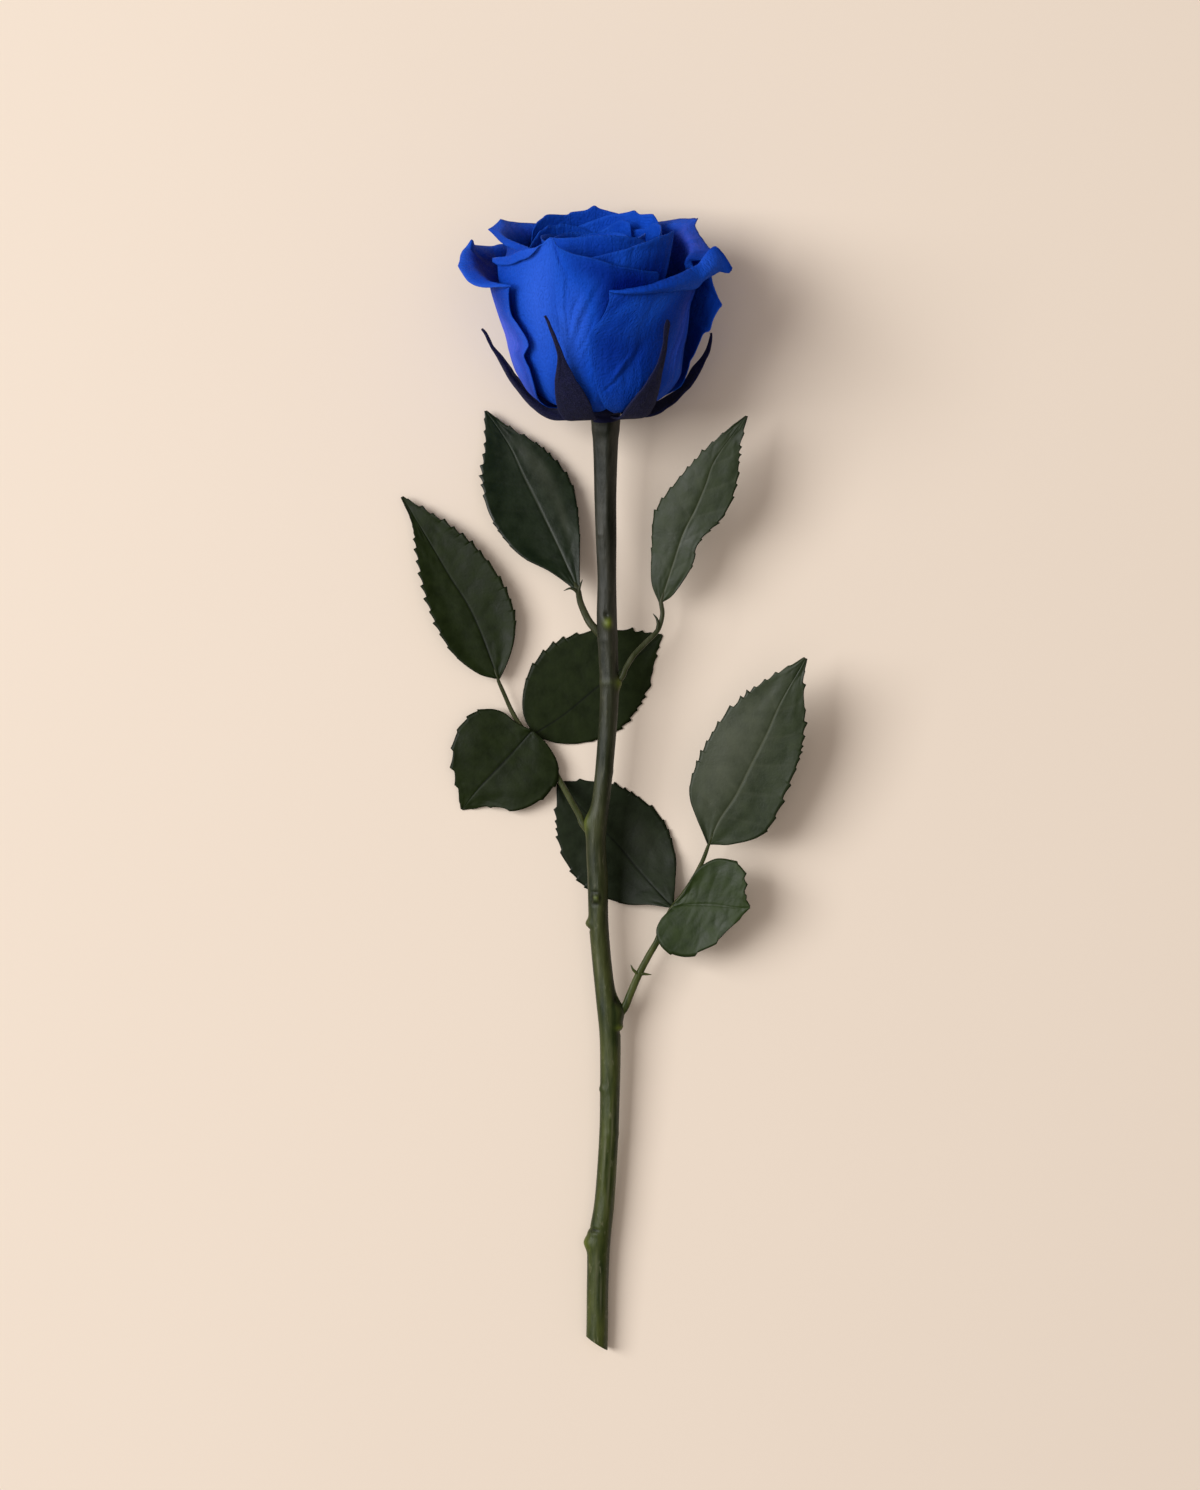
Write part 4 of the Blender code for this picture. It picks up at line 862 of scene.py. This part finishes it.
# ---- Leaves ----
def margins(blade, v):
    """The left and right margins and the midrib of a blade, at v from its base to its tip."""
    stations = np.linspace(0, 1, 400)
    lines = [smooth_line(blade[key], len(stations)) for key in ("left", "right", "rib")]
    return [np.stack([np.interp(v, stations, axis) for axis in line.T], axis=-1) for line in lines]


def saw_teeth(seed, v, count):
    """Teeth along a margin that point to the leaf's tip, 0 to 1, uneven in width and in depth."""
    place = v * count + 0.8 * waves(seed, v, 0 * v, count // 2, 1)
    phase = place % 1.0
    depth = 0.62 + 0.38 * waves(seed + 1, v, 0 * v, count, 1)
    grown = np.clip((v - 0.16) / 0.14, 0, 1)
    return depth * grown * np.where(phase < 0.86, (phase / 0.86) ** 2.2, (1 - phase) / 0.14)


def toothed_blade(seed, blade, u, v):
    """The blade seen from above, and how wide it is on the side of each point."""
    left, right, rib = margins(blade, v[:, 0])
    on_left = u < 0
    out = np.abs(u)
    side = np.where(on_left[..., None], left[:, None], right[:, None])
    half = np.linalg.norm(side - rib[:, None], axis=2)
    count = round(np.linalg.norm(np.diff(rib, axis=0), axis=1).sum() / TOOTH_PITCH)
    teeth = np.where(on_left, saw_teeth(seed, v, count), saw_teeth(seed + 7, v, count))
    reach = out * (1 + (TOOTH_REACH * teeth - TOOTH_NOTCH) * out**10 / np.maximum(half, 3))
    reach = reach[..., None]
    hook = 0.8 * (teeth - 0.3) * out**8 * np.clip(8 - 8 * v, 0, 1)
    forward = unit(np.gradient(rib, axis=0))[:, None]
    return rib[:, None] * (1 - reach) + side * reach + forward * hook[..., None], half


def build_leaf(name, blade, material):
    rows, columns = 200, 35
    seed = seed_of(name)
    t = np.linspace(-1, 1, columns)
    crowded = np.sign(t) * np.abs(t) ** 1.25  # towards the midrib
    v, u = np.meshgrid(np.linspace(0, 1, rows), crowded, indexing="ij")
    plan, half = toothed_blade(seed, blade, u, v)
    out = np.abs(u)
    slant = (v * VEIN_PAIRS - 0.9 * out) % 1.0
    vein = np.clip((np.abs(slant - 0.5) * 2 - 0.82) / 0.18, 0, 1) * (1 - out**3) * np.sin(np.pi * v) ** 0.3
    rib = bump_at(out * half, 0, RIB_WIDTH * (1.25 - v))
    rise = np.where(u < 0, glide(blade["left_rise"], v), glide(blade["right_rise"], v))
    quilt = 0.07 * np.sin(np.pi * slant) * np.sin(np.pi * np.minimum(out * 1.1, 1))
    wave = 0.45 * waves(seed, (u + 1) / 2, v, 4, 4) * out + 0.05 * waves(seed + 1, (u + 1) / 2, v, 12, 20)
    relief = blade.get("relief", 1) * (quilt + wave - 0.12 * rib)
    height = np.maximum(glide(blade["height"], v) + rise * out**1.5 + relief, 0.2)
    values = {
        "rib": rib,
        "vein": vein,
        "edge": np.exp(-(1 - out) * half / 0.14),
        # painted highlight areas for the material
        "satin": patches(blade.get("satin", []), u, v),
    }
    mesh = grid_mesh(name, np.concatenate([plan, height[..., None]], axis=2), (2, 5), values)
    add_piece(name, mesh, material, LEAF_THICKNESS)


# ---- Stem and stalks ----
def turns(sides):
    """Directions round a tube, from 0 at its top by way of its right side."""
    return np.linspace(0, 2 * np.pi, sides, endpoint=False)


def sweep(line, radius):
    """Rings round a line of points; radius holds a row for each point and a column for each side."""
    tangent = unit(np.gradient(line, axis=0))
    right = unit(np.cross(np.array([0, 0, 1.0]), tangent))
    up = np.cross(tangent, right)
    turn = turns(radius.shape[1])[:, None]
    spoke = right[:, None] * np.sin(turn) + up[:, None] * np.cos(turn)
    return line[:, None] + spoke * radius[..., None]


def spot_round(y, angle, at, direction, length, spread):
    """A soft spot on the stem: its place along it, its direction round it, and its two sizes."""
    off = (angle - direction + 180) % 360 - 180
    return np.exp(-(((y - at) / length) ** 2) - (off / spread) ** 2)


def stem_radius(path, turn):
    """The stem's radius along its path and round it: soft edges, swellings, pits and rough bark."""
    y = path[:, 1:2]
    angle = np.degrees(turn)
    bumps = sum(height * spot_round(y, angle, *place) for *place, height, _ in STEM_SWELLINGS)
    pits = sum(PIT_DEPTH * spot_round(y, angle, *pit) for pit in STEM_PITS)
    share = np.linspace(0, 1, len(path))[:, None]
    turned = turn / (2 * np.pi)
    bark = 0.1 * waves(5, share, turned, 30, 4) + 0.05 * waves(6, share, turned, 120, 12)
    bark = bark * (0.5 + 0.5 * np.cos(4 * np.pi * turned))
    corner = np.pi / 5
    facet = math.cos(corner) / np.cos((turn - math.radians(FACET_EDGE)) % (2 * corner) - corner)
    facet = 1 + (facet / facet.max() - 0.95) * np.interp(y, *FACET_SHARE)
    return path[:, 3:] * facet + bumps - pits + bark


def cut_off(rings):
    """The rings up to the oblique cut, followed by those of its rough face."""
    cut = np.array(CUT_POINT)
    normal = unit(np.array(CUT_NORMAL))
    last = int(np.argmax(((rings - cut) @ normal > 0).all(axis=1)))
    rings = rings[:last + 1]
    over = np.maximum((rings - cut) @ normal, 0)
    rings = rings - np.array([0, normal[1], 0]) * (over / normal[1] ** 2)[..., None]
    middle = rings[-1].mean(axis=0)
    face = []
    for k, size in enumerate(CUT_RINGS):
        rough = np.random.RandomState(40 + k).uniform(-0.22, 0.12, rings.shape[1])
        face.append(middle + (rings[-1] - middle) * size + normal * rough[:, None])
    return np.concatenate([rings, face])


def build_stem(material):
    path = smooth_line(STEM, 440)
    turn = turns(40)
    rings = cut_off(sweep(path[:, :3], stem_radius(path, turn)))
    y = rings[..., 1]
    angle = np.degrees(turn)
    fresh = np.zeros(y.shape)
    fresh[-len(CUT_RINGS):] = 1
    fresh[-len(CUT_RINGS) - 1] = 0.6
    values = {
        "fresh": fresh,
        "bud": sum(
            green * spot_round(y, angle, at, direction, length * 0.9, spread * 0.9)
            for at, direction, length, spread, _, green in STEM_SWELLINGS
        ),
        "pit": sum(spot_round(y, angle, *spot) for spot in STEM_PITS),
        "pale": sum(spot_round(y, angle, *spot) for spot in STEM_STREAKS),
    }
    mesh = tube_mesh("stem", rings, {key: np.clip(value, 0, 1) for key, value in values.items()})
    add_piece("stem", mesh, material)


def stalk_root(stalk):
    """The point inside the stem that a leaf stalk grows from, a little below its last point."""
    x, y, z = stalk["path"][-1]
    line = smooth_line(STEM, 400)
    near = line[np.argmin(np.abs(line[:, 1] - (y - 3)))]
    return (0.65 * near[0] + 0.35 * x, y - 3, 0.6 * near[2] + 0.4 * z)


def build_stalk(name, stalk, material):
    """A stalk that runs from inside its blade to inside the stem, with a groove along its top."""
    blade = BLADES[stalk["blade"]]
    tip = (*blade["rib"][0], blade["height"][0] - 0.1)
    inside = (*smooth_line(blade["rib"], 60)[3], glide(blade["height"], 0.05) - 0.15)
    path = smooth_line([inside, tip] + stalk["path"] + [stalk_root(stalk)], 90)
    radii = np.interp(np.linspace(0, 1, 90), [0, 0.1, 1], [0.25, *stalk["radii"]])
    turn = turns(20)
    groove = 1 - 0.16 * bump_at(np.minimum(turn, 2 * np.pi - turn), 0, 0.45)
    rings = sweep(path, radii[:, None] * groove)
    mesh = tube_mesh(name, rings, {"bud": np.full(rings.shape[:2], 0.12)})
    add_piece(name, mesh, material)


def build_stipule(name, points, material):
    rows, sides = 24, 12
    radii = 0.5 * (1 - np.linspace(0, 1, rows)) ** 0.7 + 0.04
    rings = sweep(smooth_line(points, rows), np.tile(radii[:, None], sides))
    mesh = tube_mesh(name, rings, {"bud": np.full(rings.shape[:2], 0.1)})
    add_piece(name, mesh, material, in_cad=False)


# ---- Materials ----
def node(tree, kind, inputs=None, **settings):
    """A shader node with its settings and its inputs, each a value or another node's output."""
    made = tree.nodes.new("ShaderNode" + kind)
    for key, value in settings.items():
        setattr(made, key, value)
    for key, value in (inputs or {}).items():
        socket = made.inputs[key]
        if isinstance(value, bpy.types.NodeSocket):
            tree.links.new(value, socket)
        else:
            socket.default_value = value
    return made


def ranged(tree, value, low, high, to_low=0, to_high=1):
    return node(tree, "MapRange", {0: value, 1: low, 2: high, 3: to_low, 4: to_high}).outputs[0]


class Paint:
    """A material and the nodes that colour it."""

    def __init__(self, name, roughness, specular):
        self.material = bpy.data.materials.new(name)
        self.material.use_nodes = True
        self.tree = self.material.node_tree
        self.shader = self.tree.nodes["Principled BSDF"]
        self.set("Roughness", roughness)
        self.set("Specular IOR Level", specular)

    def set(self, socket, value):
        self.shader.inputs[socket].default_value = value

    def link(self, value, socket):
        self.tree.links.new(value, self.shader.inputs[socket])

    def ranged(self, value, low, high, to_low=0, to_high=1):
        return ranged(self.tree, value, low, high, to_low, to_high)

    def maths(self, how, first, second):
        return node(self.tree, "Math", {0: first, 1: second}, operation=how).outputs[0]

    def times(self, first, second):
        return self.maths("MULTIPLY", first, second)

    def plus(self, first, second):
        return self.maths("ADD", first, second)

    def read(self, name):
        """One of the values stored at the mesh's points."""
        return node(self.tree, "Attribute", attribute_name=name).outputs["Fac"]

    def mixed(self, share, first, second):
        """From the first colour to the second."""
        first = (*first, 1) if isinstance(first, tuple) else first
        second = (*second, 1) if isinstance(second, tuple) else second
        return node(self.tree, "Mix", {0: share, 6: first, 7: second}, data_type="RGBA").outputs[2]

    def grain(self, scale, detail, roughness):
        """Noise over the UV map in cm for two scales, or over the model in metres for three."""
        if len(scale) == 2:
            place = node(self.tree, "UVMap", uv_map="grain").outputs[0]
            scale = (*scale, 1)
        else:
            place = node(self.tree, "TexCoord").outputs["Object"]
        place = node(self.tree, "Mapping", {"Vector": place, "Scale": scale}).outputs[0]
        noise = {"Vector": place, "Scale": 1, "Detail": detail, "Roughness": roughness}
        return node(self.tree, "TexNoise", noise).outputs["Fac"]

    def finish(self, colour, height=None, distance=0, strength=0):
        self.link(colour, "Base Color")
        if height:
            bump = {"Height": height, "Distance": distance * MM, "Strength": strength}
            self.link(node(self.tree, "Bump", bump).outputs[0], "Normal")
        return self.material


def petal_material():
    paint = Paint("petal_velvet", 0.6, 0.03)
    streaks = paint.grain((9, 2.6), 3, 0.6)
    lumps = paint.grain((12, 7), 2, 0.5)
    pebbles = paint.grain((27, 14), 2, 0.55)
    cloud = paint.grain((1.6, 0.9), 2, 0.5)
    blue = paint.mixed(paint.ranged(cloud, 0.3, 0.7), (0.004, 0.053, 0.46), (0.009, 0.08, 0.57))
    # painted light: areas where the lamp falls are painted a brighter blue; painted shade: the deep areas,
    # hollows and overlaps, are painted a darker blue
    blue = paint.mixed(paint.read("painted_light"), blue, (0.034, 0.135, 0.8))
    blue = paint.mixed(paint.read("deep"), blue, (0.0002, 0.008, 0.16))
    # painted shade: the low places of the pebble noise, which are the hollows of the bump, are painted
    # darker
    blue = paint.mixed(paint.ranged(pebbles, 0.35, 0.55, 0.2, 0), blue, (0.001, 0.022, 0.22))
    # painted sheen: a pale violet blue painted where the velvet catches the lamp, broken up by the streaks
    sheen_share = paint.times(paint.read("painted_sheen"), paint.ranged(streaks, 0.36, 0.62, 0.45, 1))
    blue = paint.mixed(sheen_share, blue, (0.1, 0.13, 0.76))
    blue = paint.mixed(paint.times(paint.read("edge"), 0.3), blue, (0.01, 0.07, 0.42))
    height = paint.plus(paint.times(streaks, 0.35), paint.times(pebbles, 0.7))
    return paint.finish(blue, paint.plus(height, paint.times(lumps, 0.6)), 0.6, 0.75)


def sepal_material():
    paint = Paint("sepal_navy", 0.8, 0.12)
    paint.set("Sheen Weight", 0.06)
    paint.set("Sheen Roughness", 0.5)
    paint.set("Sheen Tint", (0.5, 0.55, 1, 1))
    fuzz = paint.grain((26, 40), 2, 0.6)
    streak = paint.grain((9, 7), 3, 0.6)
    navy = paint.mixed(paint.ranged(streak, 0.35, 0.65), (0.0018, 0.0024, 0.016), (0.0065, 0.007, 0.04))
    navy = paint.mixed(paint.ranged(fuzz, 0.5, 0.64, 0, 0.8), navy, (0.03, 0.033, 0.09))
    navy = paint.mixed(paint.times(paint.read("edge"), 0.5), navy, (0.014, 0.017, 0.07))
    return paint.finish(navy, paint.plus(fuzz, streak), 0.5, 0.8)


def leaf_material(name, face, mottles, veins, roughness, gloss):
    paint = Paint(name, roughness, gloss)
    mottle = paint.grain((260, 260, 260), 4, 0.6)
    fine = paint.grain((1400, 1400, 1400), 2, 0.5)
    green = paint.mixed(paint.ranged(mottle, 0.35, 0.65), mottles, face)
    # painted highlight: a pale grey painted where the lamp glints on the blade
    satin = paint.times(paint.read("satin"), paint.ranged(mottle, 0.3, 0.7, 0.75, 1))
    green = paint.mixed(satin, green, (0.115, 0.125, 0.092))
    green = paint.mixed(paint.times(paint.read("vein"), 0.16), green, veins)
    green = paint.mixed(paint.times(paint.read("rib"), 0.9), green, veins)
    green = paint.mixed(paint.times(paint.read("edge"), 0.45), green, (0.005, 0.006, 0.003))
    paint.link(paint.ranged(mottle, 0.3, 0.7, roughness - 0.06, roughness + 0.1), "Roughness")
    return paint.finish(green, paint.plus(mottle, paint.times(fine, 0.4)), 0.16, 0.5)


def stem_material():
    paint = Paint("stem_bark", 0.45, 0.26)
    y = node(paint.tree, "SeparateXYZ", {0: node(paint.tree, "TexCoord").outputs["Object"]}).outputs[1]
    down = paint.ranged(y, 0.09, -0.14)
    streak = paint.grain((420, 55, 420), 4, 0.6)
    spot = paint.grain((900, 260, 900), 3, 0.7)
    streaked = paint.ranged(streak, 0.35, 0.65)
    top = paint.mixed(streaked, (0.008, 0.01, 0.005), (0.036, 0.036, 0.026))
    low = paint.mixed(streaked, (0.014, 0.025, 0.003), (0.066, 0.08, 0.016))
    bark = paint.mixed(paint.ranged(down, 0.2, 0.75), top, low)
    pale = paint.times(paint.ranged(spot, 0.6, 0.72, 0, 0.45), down)
    pale = paint.maths("MAXIMUM", pale, paint.times(paint.read("pale"), 0.4))
    bark = paint.mixed(pale, bark, (0.22, 0.21, 0.13))
    bark = paint.mixed(paint.times(paint.read("bud"), 0.8), bark, (0.15, 0.19, 0.015))
    bark = paint.mixed(paint.times(paint.read("pit"), 0.9), bark, (0.006, 0.007, 0.003))
    bark = paint.mixed(paint.read("fresh"), bark, (0.3, 0.26, 0.15))
    return paint.finish(bark, paint.plus(streak, paint.times(spot, 0.8)), 0.22, 0.6)


def table_material():
    paint = Paint("table_paper", 0.9, 0.15)
    soft = paint.grain((6, 6, 6), 2, 0.5)
    return paint.finish(paint.mixed(soft, (0.86, 0.745, 0.635), (0.88, 0.765, 0.655)))


# ---- Stage ----
def build_table():
    mesh = bpy.data.meshes.new("table")
    reach = 3
    corners = [(-reach, -reach, 0), (reach, -reach, 0), (reach, reach, 0), (-reach, reach, 0)]
    mesh.from_pydata(corners, [], [(0, 1, 2, 3)])
    mesh.materials.append(table_material())
    table = bpy.data.objects.new("table", mesh)
    bpy.context.scene.collection.objects.link(table)


def area_light(name, place, size, power, colour):
    """A lamp that shines on the middle of the rose."""
    light = bpy.data.lights.new(name, "AREA")
    light.shape = "RECTANGLE"
    light.size, light.size_y = size
    light.energy = power
    light.color = colour
    lamp = bpy.data.objects.new(name, light)
    lamp.location = place
    lamp.rotation_euler = (Vector(ROSE_MIDDLE) - Vector(place)).to_track_quat("-Z", "Y").to_euler()
    bpy.context.scene.collection.objects.link(lamp)
    return lamp


def build_light():
    """A soft window high on the left, a weak light from above and a dim room around them."""
    world = bpy.data.worlds.new("room")
    bpy.context.scene.world = world
    world.use_nodes = True
    tree = world.node_tree
    room = tree.nodes["Background"]
    room.inputs["Color"].default_value = (1, 0.88, 0.79, 1)
    glossy = node(tree, "LightPath").outputs["Is Glossy Ray"]
    tree.links.new(ranged(tree, glossy, 0, 1, 0.24, 0.02), room.inputs["Strength"])
    area_light("key", place=(-1.6, 0.34, 1.75), size=(1.2, 1.6), power=52, colour=(1, 1, 0.99))
    fill = area_light("fill", place=(0.1, 0.03, 2), size=(1.8, 1.8), power=7, colour=(1, 0.93, 0.88))
    fill.visible_glossy = False
    bpy.context.scene.view_settings.view_transform = "Standard"


def build_camera():
    """A camera straight above the rose."""
    lens = bpy.data.cameras.new("camera")
    lens.lens = 100
    lens.sensor_fit = "VERTICAL"
    lens.sensor_height = 36
    lens.sensor_width = lens.sensor_height * PICTURE_SHAPE
    lens.clip_start = 0.01
    camera = bpy.data.objects.new("camera", lens)
    camera.location = (0, 0.0085, 1.0347)
    bpy.context.scene.collection.objects.link(camera)
    bpy.context.scene.camera = camera


def build():
    build_camera()
    build_light()
    build_table()
    velvet = petal_material()
    for name, petal in PETALS.items():
        build_petal(name, petal, velvet)
    for name, row in INNER_HEART.items():
        build_petal(name, heart_petal(*row), velvet)
    navy = sepal_material()
    for name, sepal in SEPALS.items():
        build_sepal(name, sepal, navy)
    build_receptacle(navy)
    greens = {name: leaf_material(name, *look) for name, look in LEAF_LOOKS.items()}
    for name, blade in BLADES.items():
        build_leaf(name, blade, greens[blade["looks"]])
    bark = stem_material()
    build_stem(bark)
    for name, stalk in STALKS.items():
        build_stalk(name, stalk, bark)
    for name, points in STIPULES.items():
        build_stipule(name, points, bark)


build()
